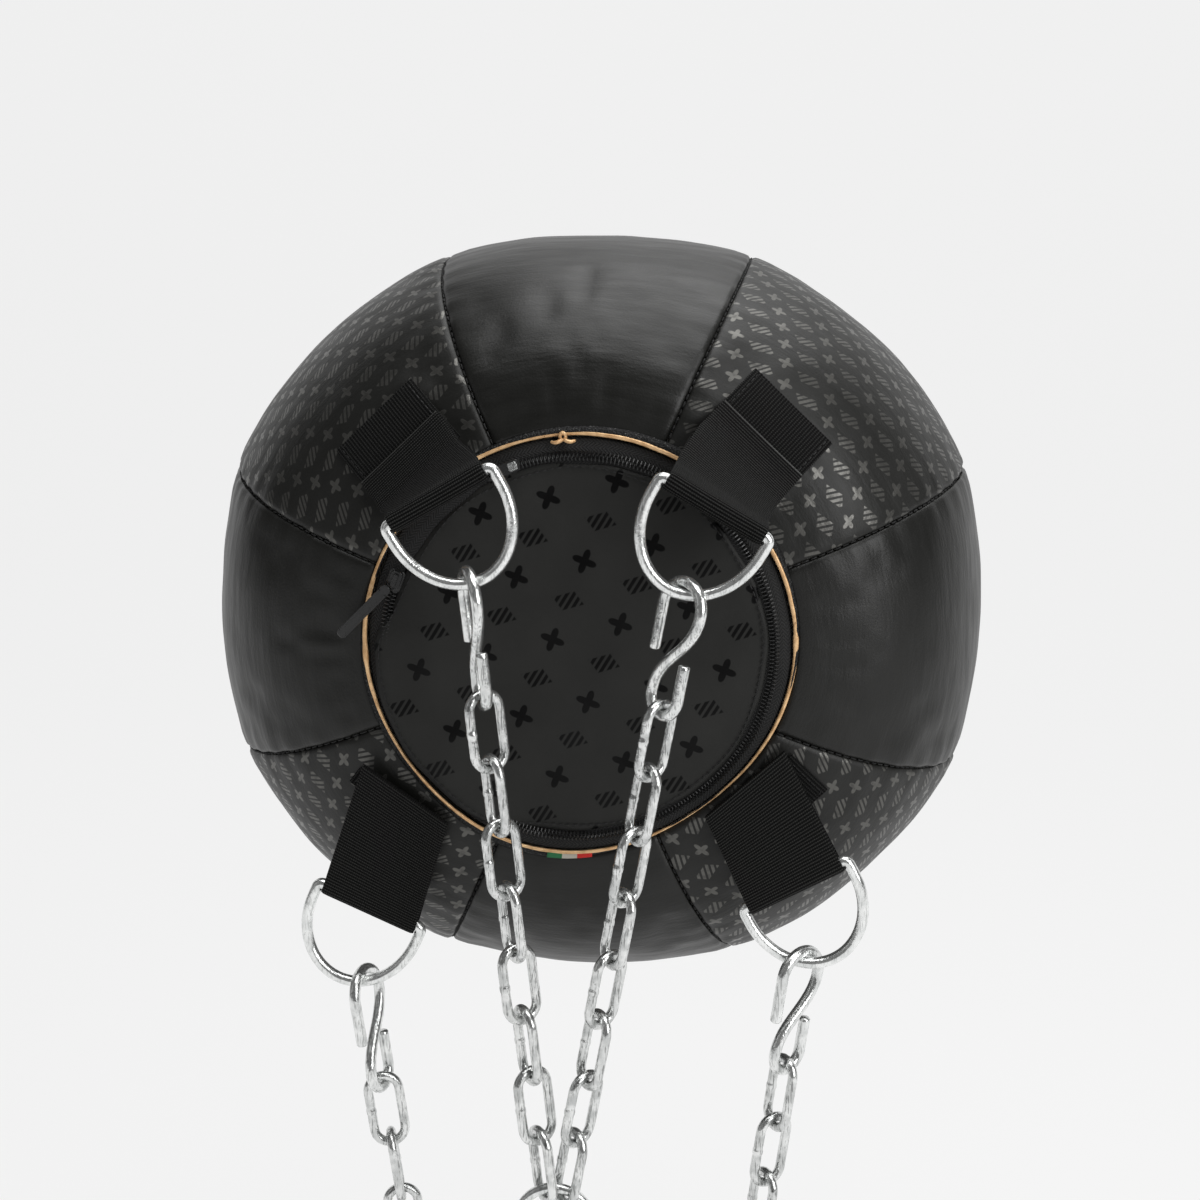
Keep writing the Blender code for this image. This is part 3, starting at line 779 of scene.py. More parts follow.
def make_shell():
    """The eight sewn panels, each a padded sheet, with the threads of their seams."""
    field = puffed(SIM_ROWS, SIM_COLUMNS)
    t, length = rows_of(132, 0.0006)
    middle = np.linspace(-1, 1, 35)
    for index, name in enumerate(PANEL_NAMES):
        centre = index * math.tau / PANELS
        half = math.pi / PANELS
        r, _ = profile(t)
        # columns: an even spread inside, and closer ones where the cloth turns in at the seams
        inner = 1 - 0.0052 / (r * half)
        edge = [1 - gap / (r * half) for gap in (0.0034, 0.0020, 0.0010, 0.0003)]
        across = np.column_stack([-e for e in reversed(edge)] + [inner * m for m in middle] + edge)
        angle = centre + across * half
        skin = shell_points(t[:, None], angle)
        column = (angle - half) / (math.tau / (PANELS * SIM_COLUMNS)) % (PANELS * SIM_COLUMNS)
        share = np.broadcast_to((length / length[-1])[:, None], column.shape)
        flat = (skin + sampled(field, share, column)).reshape(-1, 3)
        seam = (1 - np.abs(across)) * r[:, None] * half
        out = unit(shell_points(t[:, None], angle, 0.001) - skin).reshape(-1, 3)
        sink = SEAM_DEPTH * bell(seam, SEAM_WIDTH, 1.6).reshape(-1)
        wrinkle = creases(flat, seam.reshape(-1), np.repeat(length, across.shape[1]), index)
        flat = flat + out * (wrinkle - sink)[:, None]
        u = across * r[:, None] * half
        cloth = np.stack([u, np.broadcast_to(length[:, None], u.shape), seam], -1).reshape(-1, 3)
        cloth[:, 0] += index * 0.317
        faces = flipped(grid_faces(*across.shape))
        look = "printed" if index % 2 else "leatherette"
        made = piece("shell_" + name, (flat, faces), look, "bag", "panel_" + name, sharp=None, cloth=cloth)
        thicken(made, SHEET_T)
    stitches()


def creases(points, seam, length, index):
    """How far the stuffed leatherette is raised: broad lumps, soft streaks and puckers at the seams."""
    broad = smooth_noise(points, 0.055, index * 3.1) * 0.0011
    squeezed = points * np.array((1.0, 0.55, 1.0))
    streaks = smooth_noise(squeezed, 0.017, index * 1.3 + 9) * 0.00035
    puckers = np.sin(length * math.tau / 0.017 + 2.2 * smooth_noise(points, 0.04, 5.0))
    puckers *= bell(seam, 0.014) * 0.00035
    held = np.clip(length / 0.02, 0, 1)
    return (broad + streaks + puckers) * held


def stitches():
    """Short threads in the eight seam grooves."""
    t, length = meridian()
    pitch, size = 0.0042, 0.0030
    middles = np.arange(0.004, length[-1] - 0.004, pitch)
    parts = []
    for index in range(PANELS):
        angle = (index + 0.5) * math.tau / PANELS
        for place_on in middles:
            ends = np.interp([place_on - size / 2, place_on, place_on + size / 2], length, t)
            line = shell_points(ends, angle, np.array((-0.0018, -0.0012, -0.0018)))
            parts.append(tube(line, 0.00045, 5))
    piece("seam_stitches", merged(parts), "thread", "bag")


def make_inside():
    """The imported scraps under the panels, and the disc that closes the base."""
    back = -LID_Y
    t, _ = rows_of(26, 0.004)
    angle = np.linspace(0, math.tau, 64, endpoint=False)
    points = shell_points(t[:, None], angle[None, :], -FILLING_INSET)
    flat = points.reshape(-1, 3)
    flat = flat + unit(flat - place(*INSIDE)) * (smooth_noise(flat, 0.02, 4.0) * 0.004)[:, None]
    faces = flipped(ring_faces(len(t), 64, False))
    faces.append(tuple(range(64)))
    faces.append(tuple(reversed(range((len(t) - 1) * 64, len(t) * 64))))
    core = piece("filling_core", (flat, faces), "filling", "bag", "filling")
    outer = [(0, 0.0004), (0.045, 0.0004), (0.050, 0.0002), (BASE_DISC_R - 0.0012, 0.0005)]
    outer.append((BASE_DISC_R, 0.0014))
    inner = [(radius, BASE_DISC_T) for radius in (BASE_DISC_R, 0.03, 0)]
    disc = revolved([(radius, back - depth) for radius, depth in outer + inner], 120)
    flat = disc[0][:, [0, 2, 1]]
    piece("base_patch", disc, "leatherette", "bag", "base_disc", cloth=flat)
    ring = []
    for k in range(72):
        spread = np.array((-0.30, 0, 0.30)) * math.tau / 72 + k * math.tau / 72
        level = LID_Y + back - 0.0002 - np.array((0.0005, 0.0, 0.0005))
        ring.append(tube(round_axis(0.0500, spread, level), 0.0003, 6))
    piece("base_stitches", merged(ring), "thread", "bag")


# Lid, zip and piping

def lapped(angle):
    """1 where the lid laps over the coil and 0 where the coil shows, for angles in radians."""
    return 1 / (1 + np.exp((np.abs(away_from(angle, LAP_MIDDLE)) - LAP_HALF) / LAP_EDGE))


def make_lid():
    """The lid, slightly domed, with the stitches of its hem."""
    rings, steps = 44, 240
    points = []
    turn = np.linspace(0, math.tau, steps, endpoint=False)
    lap = lapped(turn)
    share = np.linspace(0.02, 1, rings)
    for s in share:
        wave = 1 + 0.007 * np.sin(turn * 7 + 0.7) * s**6 + 0.004 * np.sin(turn * 19) * s**8
        r = LID_R * s * wave + LAP_REACH * lap * s**3
        dome = 0.0022 * (1 - s**2) + 0.0006 + LAP_LIFT * lap * s**4
        points.append(round_axis(r, turn, LID_Y - dome))
    flat = np.array(points).reshape(-1, 3)
    held = np.repeat(np.clip((1 - share) / 0.15, 0.15, 1), steps)
    flat[:, 1] -= (smooth_noise(flat, 0.045, 2.0) * 0.0016 + smooth_noise(flat, 0.016, 7.0) * 0.0004) * held
    faces = flipped(ring_faces(rings, steps, False))
    faces.append(tuple(range(steps)))
    cover = drawn_in((flat, faces))
    thicken(piece("lid_cover", cover, "lid", "bag", "lid", sharp=None), LID_T)
    hem = []
    for k in range(150):
        spread = (np.array((-0.34, 0, 0.34)) + k) * math.tau / 150
        r = LID_R - 0.0022 + 0.0005 * np.sin(spread * 9) + 0.0096 * lapped(spread)
        lift = np.array((0.0004, 0.0009, 0.0004)) + 0.0009 + 0.0022 * lapped(spread)
        hem.append(tube(round_axis(r, spread, LID_Y - lift), 0.00035, 5))
    piece("lid_stitches", drawn_in(merged(hem)), "thread", "bag")


def make_tapes():
    """The zip tape under the coil, and the coil cloth at the rim."""
    front = [(0.0855, 0.0006), (0.0868, -0.0002), (0.0920, 0.0), (0.1005, 0.0002)]
    tape = drawn_in(washer([*front, (0.1012, 0.0014), (0.0855, 0.0016)]))
    piece("zip_tape_weave", tape, "tape", "bag", "zip_tape", sharp=60)
    # a strip of coil cloth shows outside the piping at the upper right and the lower left
    turn = np.linspace(0, math.tau, 260, endpoint=False)
    wide = 0.0008 + 0.0046 * np.clip(np.cos(turn - math.radians(60)), 0, 1) ** 1.5
    wide += 0.0040 * np.clip(np.cos(turn - math.radians(232)), 0, 1) ** 1.5
    rows = []
    for share, lift in ((0.0, 0.0006), (0.25, 0.0013), (0.5, 0.0015), (0.75, 0.0013), (1.0, 0.0003)):
        r = RIM_R - 0.0006 + wide * share
        drop = np.interp(r, *shoulder_line())
        rows.append(round_axis(r, turn, LID_Y + drop - lift))
    band = np.array(rows)
    faces = flipped(ring_faces(len(rows), len(turn), False))
    band = drawn_in((band.reshape(-1, 3), faces))
    thicken(piece("rim_band", band, "pebbles", "bag", sharp=None), 0.0008)


def shoulder_line():
    """Radius and depth along the shoulder."""
    return profile(np.linspace(0, 1, 200))


def make_teeth():
    """Two rows of small coil loops, from the zip's end bar round to the slider's stop."""
    parts = []
    coil = ((0.0010, 0.0008), (0.0012, -0.0002), (0, -0.0009), (-0.0012, -0.0002), (-0.0010, 0.0008))
    for k in range(TEETH_COUNT):
        angle = math.radians(TEETH_START + TEETH_SPAN * k / (TEETH_COUNT - 1))
        out = np.array((math.cos(angle), 0, math.sin(angle)))
        side = np.array((-math.sin(angle), 0, math.cos(angle)))
        for row in (-1, 1):
            middle = place(0, -0.0012, 0) + out * (TEETH_R + TEETH_ROW * row) + side * 0.0005 * row
            line = [middle + out * outward * row + AXIS * back for outward, back in coil]
            parts.append(tube(line, TEETH_WIRE, 5))
    piece("coil_teeth", drawn_in(merged(parts)), "teeth", "bag", "zip_teeth")


def make_piping():
    """The gold cord, slightly kinked where the needle held it, with its two splices."""
    turn = np.linspace(0, math.tau, 480, endpoint=False)
    kinks = 26
    phase = (turn * kinks / math.tau) % 1
    r = RIM_R + 0.0003 - 0.0002 * (np.abs(phase - 0.5) * 2) ** 2 * np.sin(turn * 3 + 1) ** 2
    r += 0.0003 * np.sin(turn * 5 + 0.4)
    depth = -0.0006 + 0.0003 * np.sin(turn * 7 + 2)
    line = round_axis(r, turn, LID_Y + depth)
    thick = PIPING_WIRE + 0.00004 * np.sin(turn * 37) * np.sin(turn * 11)
    for splice in (182, 3):
        away = np.abs((turn - math.radians(splice) + math.pi) % math.tau - math.pi)
        thick += 0.0003 * bell(away * RIM_R, 0.004, 4)
    cord = drawn_in(tube(line, thick, 12, closed=True))
    piece("piping_cord", cord, "piping", "bag", "lid_piping", sharp=None)
    knot = []
    for way in (-1, 1):
        share = np.linspace(0, 1, 24)
        angle = math.radians(KNOT_ANGLE) + way * (0.004 + 0.052 * share)
        lift = 0.0018 + 0.0016 * np.sin(share * math.pi)
        reach = RIM_R - 0.0020 - 0.0030 * share * (1.25 - share)
        line = round_axis(reach, angle, LID_Y - lift)
        knot.append(tube(line, 0.00095 * (1 - 0.3 * share**3), 9))
    middle = place(0, -0.0022, 0) + in_plan(KNOT_ANGLE) * (RIM_R - 0.0006)
    share = np.linspace(0, math.tau, 30, endpoint=False)
    loop = middle + np.stack([0.0013 * np.cos(share), -0.0008 * np.sin(share), 0.0018 * np.sin(share)], -1)
    knot.append(tube(loop, 0.0008, 8, closed=True))
    piece("piping_knot", merged(knot), "piping", "bag")


def zip_frame(angle):
    """A matrix on the zip: X outwards, Y along the bag's axis, Z along the zip, anticlockwise in plan."""
    out = Vector(in_plan(angle))
    side = Vector((-out.z, 0, out.x))
    rows = Matrix((out, side.cross(out), side)).transposed().to_4x4()
    return Matrix.Translation(Vector(place(0, 0, 0)) + out * TEETH_R) @ rows


def shaped(outline, thickness, matrix, bevel=0.0003, top=0.0):
    """A plate in a zip frame from (outwards, along the zip) pairs, its top face at -top on the axis."""
    outline = np.asarray(outline, float)
    middle = outline.mean(0)
    inset = middle + (outline - middle) * (1 - bevel / np.abs(outline - middle).max())
    low = -top - thickness
    levels = [(inset, low), (outline, low + bevel), (outline, -top - bevel), (inset, -top)]
    n = len(outline)
    points = np.vstack([np.stack([o[:, 0], np.full(n, y), o[:, 1]], -1) for o, y in levels])
    faces = flipped(ring_faces(4, n, False))
    faces += [tuple(range(n)), tuple(reversed(range(3 * n, 4 * n)))]
    rotation = np.array(matrix.to_3x3())
    return points @ rotation.T + np.array(matrix.translation), faces


def rounded_box(width, length, corner, centre=(0, 0), steps=5):
    """Outline of a rounded rectangle."""
    points = []
    for cx, cy, start in ((1, 1, 0), (-1, 1, 90), (-1, -1, 180), (1, -1, 270)):
        x = centre[0] + cx * (width / 2 - corner)
        y = centre[1] + cy * (length / 2 - corner)
        for k in range(steps + 1):
            a = math.radians(start + 90 * k / steps)
            points.append((x + corner * math.cos(a), y + corner * math.sin(a)))
    return points


def pull_frame(slider):
    """A matrix at the pull's pivot: Y along the bag's axis, Z the way the pull points."""
    ahead = Vector(in_plan(PULL_TURN))
    hinge = Vector(AXIS).cross(ahead)
    rows = Matrix((hinge, Vector(AXIS), ahead)).transposed().to_4x4()
    pivot = slider.translation + ahead * PULL_REACH - Vector(AXIS) * PULL_HEIGHT
    return Matrix.Translation(pivot) @ rows


def make_zip_metal():
    """The slider of three plates, its pull with two rails, and the bar and cap that end the zip."""
    at = zip_frame(SLIDER_ANGLE)
    body = [
        shaped(rounded_box(0.0078, 0.0108, 0.0022), 0.0016, at, top=0.0036),
        shaped(rounded_box(0.0060, 0.0085, 0.0022, (0, -0.0006)), 0.0014, at, top=0.0051),
        shaped(rounded_box(0.0024, 0.0070, 0.0010), 0.0014, at, top=0.0066),
    ]
    piece("slider_body", merged(body), "slider", "zip_slider", "zip_slider")
    pull_at = pull_frame(at)
    outline = rounded_box(0.0050, PULL_LENGTH, 0.0020, (0, PULL_LENGTH / 2 - 0.0007))
    pull = [shaped(outline, 0.0011, pull_at, top=-0.0005)]
    for edge in (-1, 1):
        rail = rounded_box(0.0008, PULL_LENGTH - 0.006, 0.0004, (edge * 0.0019, PULL_LENGTH / 2))
        pull.append(shaped(rail, 0.0003, pull_at, top=0.0006))
    piece("pull_strip", merged(pull), "pull", "zip_pull", "zip_pull")
    end = zip_frame(ZIP_END_ANGLE)
    bar = shaped(rounded_box(0.0058, 0.0160, 0.0012), 0.0026, end, top=0.0036)
    piece("end_bar", bar, "slider", "bag", "zip_end")
    cap = shaped(rounded_box(0.0040, 0.0045, 0.0010, (0, -0.0050)), 0.0004, end, top=0.0062)
    piece("end_cap", cap, "zinc", "bag")


# Straps

def strap_frame(side):
    """Outward and sideways in plan, the fold's middle, and the D-ring bar's middle and direction."""
    outward = in_plan(STRAP_ANGLE[side])
    sideways = np.cross(outward, AXIS)
    s = math.radians(BAR_SLOPE[side])
    lie = np.array((math.cos(s), 0, math.sin(s)))
    if np.dot(lie, sideways) < 0:
        lie = -lie
    return outward, sideways, place(*FOLD_MIDDLE[side]), place(*BAR_MIDDLE[side]), lie


def above_shoulder(points, lift):
    """The points lift above the shoulder that are seen at these points in plan."""
    angle = np.arctan2(points[:, 2], points[:, 0])
    reach = np.hypot(points[:, 0], points[:, 2])
    low, high = np.zeros(len(points)), np.ones(len(points))
    for _ in range(30):
        t = (low + high) / 2
        p = shell_points(t, angle)
        near = np.hypot(p[:, 0], p[:, 2]) < reach
        low, high = np.where(near, t, low), np.where(near, high, t)
    return shell_points(t, angle, lift)


def spaced(line, step):
    """A line's points spaced evenly, about step apart, on a smooth curve through them."""
    line = np.asarray(line, float)
    n = len(line)
    padded = np.vstack([2 * line[0] - line[1], line, 2 * line[-1] - line[-2]])
    s = np.linspace(0, 1, 24, endpoint=False)[:, None]
    dense = []
    for i in range(n - 1):
        p0, p1, p2, p3 = padded[i : i + 4]
        square, cube = 2 * p0 - 5 * p1 + 4 * p2 - p3, 3 * p1 - p0 - 3 * p2 + p3
        dense.append(0.5 * (2 * p1 + (p2 - p0) * s + square * s**2 + cube * s**3))
    dense = np.vstack(dense + [line[-1:]])
    length = lengths(dense)
    wanted = np.linspace(0, length[-1], max(3, int(length[-1] / step)))
    return read(dense, length, wanted), wanted


def ribbon(left, middle, right, thickness, rib_pitch, step, across=True, seed=0.0, bar_at=None):
    """Webbing whose edges and middle follow three lines: points, faces and flat coordinates.

    Its ribs run across or along it. With bar_at given they stand up only at that length, round a bar.
    """
    rows = len(spaced(left, step)[0])
    length = spaced(middle, step)[1]
    lines = []
    for line in (left, middle, right):
        even, at = spaced(line, step)
        lines.append(read(even, at / at[-1], np.linspace(0, 1, rows)))
    length = np.linspace(0, length[-1], rows)
    columns = 41 if across else 151  # ribs along the webbing need more points across it
    k = np.linspace(-1, 1, columns)
    shares = k * (k - 1) / 2, 1 - k**2, k * (k + 1) / 2
    centre = sum(line[:, None] * share[None, :, None] for line, share in zip(lines, shares))
    down = unit(np.gradient(centre, axis=0))
    over = unit(np.gradient(centre, axis=1))
    out = unit(np.cross(over, down))
    width = np.linalg.norm(lines[2] - lines[0], axis=1).mean()
    u, v = k * width / 2, length
    wave = np.sin((v[:, None] if across else u[None, :]) * math.tau / rib_pitch)
    edge = np.clip((1 - np.abs(k)) / 0.05, 0, 1)[None, :]
    if bar_at is None:
        strength = 0.00020 if across else 0.00010
    else:
        strength = 0.00006 + 0.00042 * bell(v[:, None] - bar_at, 0.0065, 4)
    wave = wave * strength * (0.4 + 0.6 * edge)
    half = thickness / 2 * np.sqrt(np.clip(1 - (np.abs(k) / 1.004) ** 24, 0.02, 1))[None, :]
    rise = out * (half + wave * 0.5)[..., None]
    loop = np.concatenate([centre + rise, (centre - rise)[:, ::-1]], 1)
    n = loop.shape[1]
    points = loop.reshape(-1, 3)
    faces = ring_faces(rows, n, False)
    faces += [tuple(reversed(range(n))), tuple((rows - 1) * n + j for j in range(n))]
    uu = np.broadcast_to(np.concatenate([u, u[::-1]]), (rows, n))
    vv = np.broadcast_to(v[:, None], uu.shape)
    cloth = np.stack([uu + seed, vv, np.zeros_like(uu)], -1).reshape(-1, 3)
    return points, faces, cloth


def loop_lines(side, k):
    """A long line of a webbing loop: out from the fold, round the bar and back, k from -1 to 1 across."""
    outward, sideways, fold, bar, lie = strap_frame(side)
    hug = D_WIRE + 0.0004 + WEB_T / 2
    apart = WEB_T / 2 + 0.0001
    start = fold + sideways * WEB_HALF * k
    stop = bar + lie * WEB_HALF * k
    out = unit(stop - start)
    rise = unit(np.cross(out, lie))
    ahead = np.cross(lie, rise)
    turn = np.radians(np.linspace(105, -105, 11))
    bend = [stop + (ahead * math.cos(a) + rise * math.sin(a)) * hug for a in turn]
    far = np.linalg.norm(stop - start)
    near, away = [start + rise * apart], [start - rise * apart]
    for share in (0.3, 0.6, 0.8):
        spread = apart + (hug - apart) * share**2
        near.append(start + out * far * share + rise * spread)
        away.append(start + out * far * share - rise * spread)
    if not side.startswith("upper"):
        return [*near, *bend, *reversed(away)]
    # the outer layer of an upper loop leaves the fold early and is sewn down on the patch
    sewn = []
    for reach, lift in SEWN_ON:
        spot = fold + outward * reach + sideways * WEB_HALF * k
        sewn.append(above_shoulder(spot[None], lift)[0])
    return [*near, *bend, away[3], away[2], *sewn]


def make_straps():
    """Each strap: its sewn patch, its loop round the bar and the stitches."""
    for seed, side in enumerate(("upper_left", "upper_right", "lower_left", "lower_right")):
        outward, sideways, fold, bar, _ = strap_frame(side)
        upper = side.startswith("upper")
        patch = []
        for k in (-1, 0, 1):
            reach = np.linspace(PATCH_FAR[side], PATCH_NEAR, 9)
            spots = fold + outward * reach[:, None] + sideways * WEB_HALF * k
            patch.append(above_shoulder(spots, PATCH_LIFT))
        *part, cloth = ribbon(*patch, PATCH_T, PATCH_RIBS, 0.0012, across=False, seed=seed * 0.31)
        node = None if upper else "strap_" + side + "_patch"
        piece("patch_" + side, part, "web_long", "bag", node, cloth=cloth)
        loop = [loop_lines(side, k) for k in (-1, 0, 1)]
        body = "bag" if upper else side + "_loop"
        node = "strap_" + side if upper else "strap_" + side + "_loop"
        ribs = UPPER_RIBS if upper else LOWER_RIBS
        bar_at = np.linalg.norm(bar - fold) + 0.0062 if upper else None
        *part, cloth = ribbon(*loop, WEB_T, ribs, 0.00022, seed=seed * 0.31 + 0.1, bar_at=bar_at)
        look = "web_upper" if upper else "web_lower"
        piece("loop_" + side, part, look, body, node, cloth=cloth)
        if upper:
            k = np.linspace(-0.98, 0.98, 25)
            end = [fold + outward * SEWN_ON[-1][0] + sideways * WEB_HALF * share for share in k]
            line = above_shoulder(np.array(end), SEWN_ON[-1][1] + WEB_T * 0.3)
            piece("loop_end_" + side, tube(line, 0.00042, 6), "cut_end", "bag")
        box_stitch(side, patch)


def box_stitch(side, patch):
    """The sewn line round a patch."""
    left, _, right = [spaced(line, 0.001)[0] for line in patch]
    rows = min(len(left), len(right))

    def inset(a, b, share):
        return a[:rows] * (1 - share) + b[:rows] * share

    outline = np.vstack([inset(left, right, 0.06)[2:-2], inset(right, left, 0.06)[2:-2][::-1]])
    outline = np.vstack([outline, outline[:1]])
    length = lengths(outline)
    parts = []
    for s in np.arange(0, length[-1] - 0.003, 0.0036):
        at = read(outline, length, [s, s + 0.0013, s + 0.0026])
        out = unit(at - place(*INSIDE))
        parts.append(tube(at + out * np.array((0.0009, 0.0013, 0.0009))[:, None], 0.00030, 5))
    piece("patch_stitches_" + side, merged(parts), "thread", "bag")


# Wire goods

def arc(centre, radius, start, stop, steps):
    a = np.radians(np.linspace(start, stop, steps + 1))
    return np.stack([centre[0] + radius * np.cos(a), centre[1] + radius * np.sin(a)], -1)


def straight(a, b, steps):
    return np.linspace(a, b, steps + 1)


def upright(origin, across, up):
    """Rotation rows and origin of a frame whose first axis is across and whose last is up."""
    up = unit(up)
    front = unit(np.cross(up, across))
    return np.array((np.cross(front, up), front, up)), np.asarray(origin, float)


def turned(origin, down, turn):
    """A frame that hangs down, with its wire turned about that by an angle."""
    a = math.radians(turn)
    return upright(origin, np.array((math.cos(a), math.sin(a), 0)), -np.asarray(down))


def drawn(line, frame_of, off=None):
    """A line of (across, up) pairs in space."""
    rows, origin = frame_of
    line = np.asarray(line, float)
    middle = np.zeros(len(line)) if off is None else off
    return origin + np.stack([line[:, 0], middle, line[:, 1]], -1) @ rows


def d_ring_line():
    """(across, up) points of a D-ring from its bar's middle, which starts the line."""
    c = D_CORNER
    right = [straight((0, 0), (D_HALF - c, 0), 12)[:-1], arc((D_HALF - c, -c), c, 90, 0, 8)[:-1]]
    right.append(straight((D_HALF, -c), (D_HALF, -D_LEG), 3)[:-1])
    a = np.radians(np.linspace(0, 180, 61))
    bow = np.stack([D_HALF * np.cos(a), -D_LEG - D_BOW * np.sin(a)], -1)
    left = np.vstack(right)[1:][::-1] * (-1, 1)
    return np.vstack([*right, bow, left])


def hook_line():
    """(across, up) points of an S-hook from the D-ring wire's centre."""
    top = np.array((0, -HOOK_TOP_DROP))
    low = top - (0, HOOK_RISE)
    start, stop = top + (HOOK_TOP_R, 0), low - (HOOK_LOW_R, 0)
    s = np.linspace(0, 1, 30)[1:-1, None]
    a, b = start - (0, STEM_PULL), stop + (0, STEM_PULL)
    stem = start * (1 - s) ** 3 + 3 * a * s * (1 - s) ** 2 + 3 * b * s**2 * (1 - s) + stop * s**3
    return np.vstack(
        [
            straight(top + (-HOOK_TOP_R, -HOOK_TOP_LEG), top - (HOOK_TOP_R, 0), 10)[:-1],
            arc(top, HOOK_TOP_R, 180, 0, 28),
            stem,
            arc(low, HOOK_LOW_R, 180, 360, 24),
            straight(low + (HOOK_LOW_R, 0), low + (HOOK_LOW_R, HOOK_LOW_LEG), 8)[1:],
        ]
    )


def link_line():
    """(across, up) points of a link round its centre, and how far each is from the weld on its left leg."""
    straight_half = LINK_HALF_SPAN - LINK_HALF
    top, low = (0, straight_half), (0, -straight_half)
    line = np.vstack(
        [
            arc(top, LINK_HALF, 0, 180, 18)[:-1],
            straight((-LINK_HALF, straight_half), (-LINK_HALF, -straight_half), 22)[:-1],
            arc(low, LINK_HALF, 180, 360, 18)[:-1],
            straight((LINK_HALF, -straight_half), (LINK_HALF, straight_half), 8)[:-1],
        ]
    )
    return line, np.where(line[:, 0] < -LINK_HALF * 0.99, np.abs(line[:, 1]), 1.0)


def make_link(name, centre, down, turn, body, node):
    """A link of bent wire, a little thicker where it was butt welded."""
    line, from_weld = link_line()
    neck = 0.05 * bell(from_weld - 0.0022, 0.0006)
    thick = LINK_WIRE * (1 + LINK_WELD * bell(from_weld, 0.0013, 4) - neck)
    frame_of = turned(centre, down, turn)
    part = tube(drawn(line, frame_of), thick, 16, closed=True, up=frame_of[0][1])
    piece(name, part, "zinc", body, node, sharp=None)


def middle_of(node):
    """The middle of a CAD node's bounding box."""
    low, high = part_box(node)
    return np.array((low + high) / 2)


def make_chain(side, count):
    """A hook and its links, placed where the CAD links hang."""
    first, last = middle_of("link_%s_1" % side), middle_of("link_%s_%d" % (side, count))
    down = unit(last - first)
    hang = first - down * (LINK_HALF_SPAN + HOOK_SPAN)
    upper = side.startswith("upper")
    hook_body = "upper_hooks" if upper else side + "_hook"
    frame_of = turned(hang, down, HOOK_TURN[side])
    part = tube(drawn(hook_line(), frame_of), HOOK_WIRE, 20, up=frame_of[0][1])
    piece("s_hook_" + side, part, "zinc_hook", hook_body, "hook_" + side, sharp=50)
    for n in range(count):
        body = "upper_links_%d" % (n + 1) if upper else "%s_link_%d" % (side, n + 1)
        node = "link_%s_%d" % (side, n + 1)
        make_link("chain_" + node, middle_of(node), down, LINK_TURN[side][n % 2], body, node)
    if upper:
        return
    for n in range(JOINED_LINKS):
        at = LOWER_LINKS + n
        node = "chain_%s_end" % side
        centre = last + down * PITCH * (n + 1)
        name = "chain_link_%s_%d" % (side, at + 1)
        turn = LINK_TURN[side][at % 2]
        make_link(name, centre, down, turn, side + "_chain_end", node if n == 0 else None)


def make_d_ring(side):
    _, _, _, bar, lie = strap_frame(side)
    lie = lie if lie[0] > 0 else -lie
    up = np.array((-lie[2], 0, lie[0]))
    frame_of = upright(bar, lie, up)
    part = tube(drawn(d_ring_line(), frame_of), D_WIRE, 22, closed=True, up=frame_of[0][1])
    body = "bag" if side.startswith("upper") else side + "_ring"
    piece("d_wire_" + side, part, "zinc_ring", body, "d_ring_" + side, sharp=None)


def make_hanging_ring():
    centre = middle_of("hanging_ring")
    level = middle_of("link_upper_right_1") - middle_of("link_upper_left_1")
    level[1] = 0
    rows, _ = upright(centre, level, (0, 0, 1))
    circle = arc((0, 0), RING_R, 90, 450, 90)[:-1]
    thick = RING_WIRE * (1 + RING_WELD * bell(np.arange(90) - 52, 1.6, 4))
    part = tube(drawn(circle, (rows, centre)), thick, 20, closed=True, up=rows[1])
    piece("ring_wire", part, "zinc_ring", "hanging_ring", "hanging_ring", sharp=None)


def make_tab():
    """A small woven tab sewn in under the lid."""
    columns, rows = 25, 9
    u = np.linspace(0, TAB_WIDE, columns)
    v = np.linspace(0, TAB_LONG, rows)
    angle = math.radians(TAB_START) + u / RIM_R
    reach = RIM_R + v
    lift = 0.0018 - 0.0007 * np.cos(v / TAB_LONG * 2.2)
    level = LID_Y + np.interp(reach, *shoulder_line()) - lift
    points = round_axis(reach[:, None], angle, level[:, None])
    cloth = np.stack([np.tile(u, rows), np.repeat(v, columns), np.zeros(rows * columns)], -1)
    part = drawn_in((points.reshape(-1, 3), grid_faces(rows, columns)))
    thicken(piece("side_tab", part, "tab", "bag", cloth=cloth, sharp=None), 0.0005, 0)


# Room, light and camera

def make_stage():
    """A pale sweep: floor below the chains that curves up to a wall behind."""
    floor = cad_low.z - 0.12
    front, back, radius, top = -4.0, 2.6, 1.2, 4.5
    curve = [(front, floor), (back - radius, floor)]
    for k in range(1, 13):
        a = math.radians(90 * k / 12)
        curve.append((back - radius + radius * math.sin(a), floor + radius * (1 - math.cos(a))))
    curve.append((back, top))
    points = [(x, y, z) for y, z in curve for x in (-5.0, 5.0)]
    data = bpy.data.meshes.new("sweep")
    data.from_pydata(points, [], grid_faces(len(curve), 2))
    data.shade_smooth()
    sweep = in_scene("sweep", data)
    paper = Graph("paper", (0.12, 0.12, 0.12), 0.9, specular=0.0)
    paper.set("Emission Color", (1.0, 1.0, 1.0, 1))
    paper.set("Emission Strength", 0.80)
    data.materials.append(paper.material)


def area_light(name, size, energy, at, target):
    light = bpy.data.lights.new(name, "AREA")
    light.shape = "RECTANGLE"
    light.size, light.size_y = size
    light.energy = energy
    lamp = in_scene(name, light)
    lamp.location = at
    lamp.rotation_euler = (Vector(target) - Vector(at)).to_track_quat("-Z", "Y").to_euler()


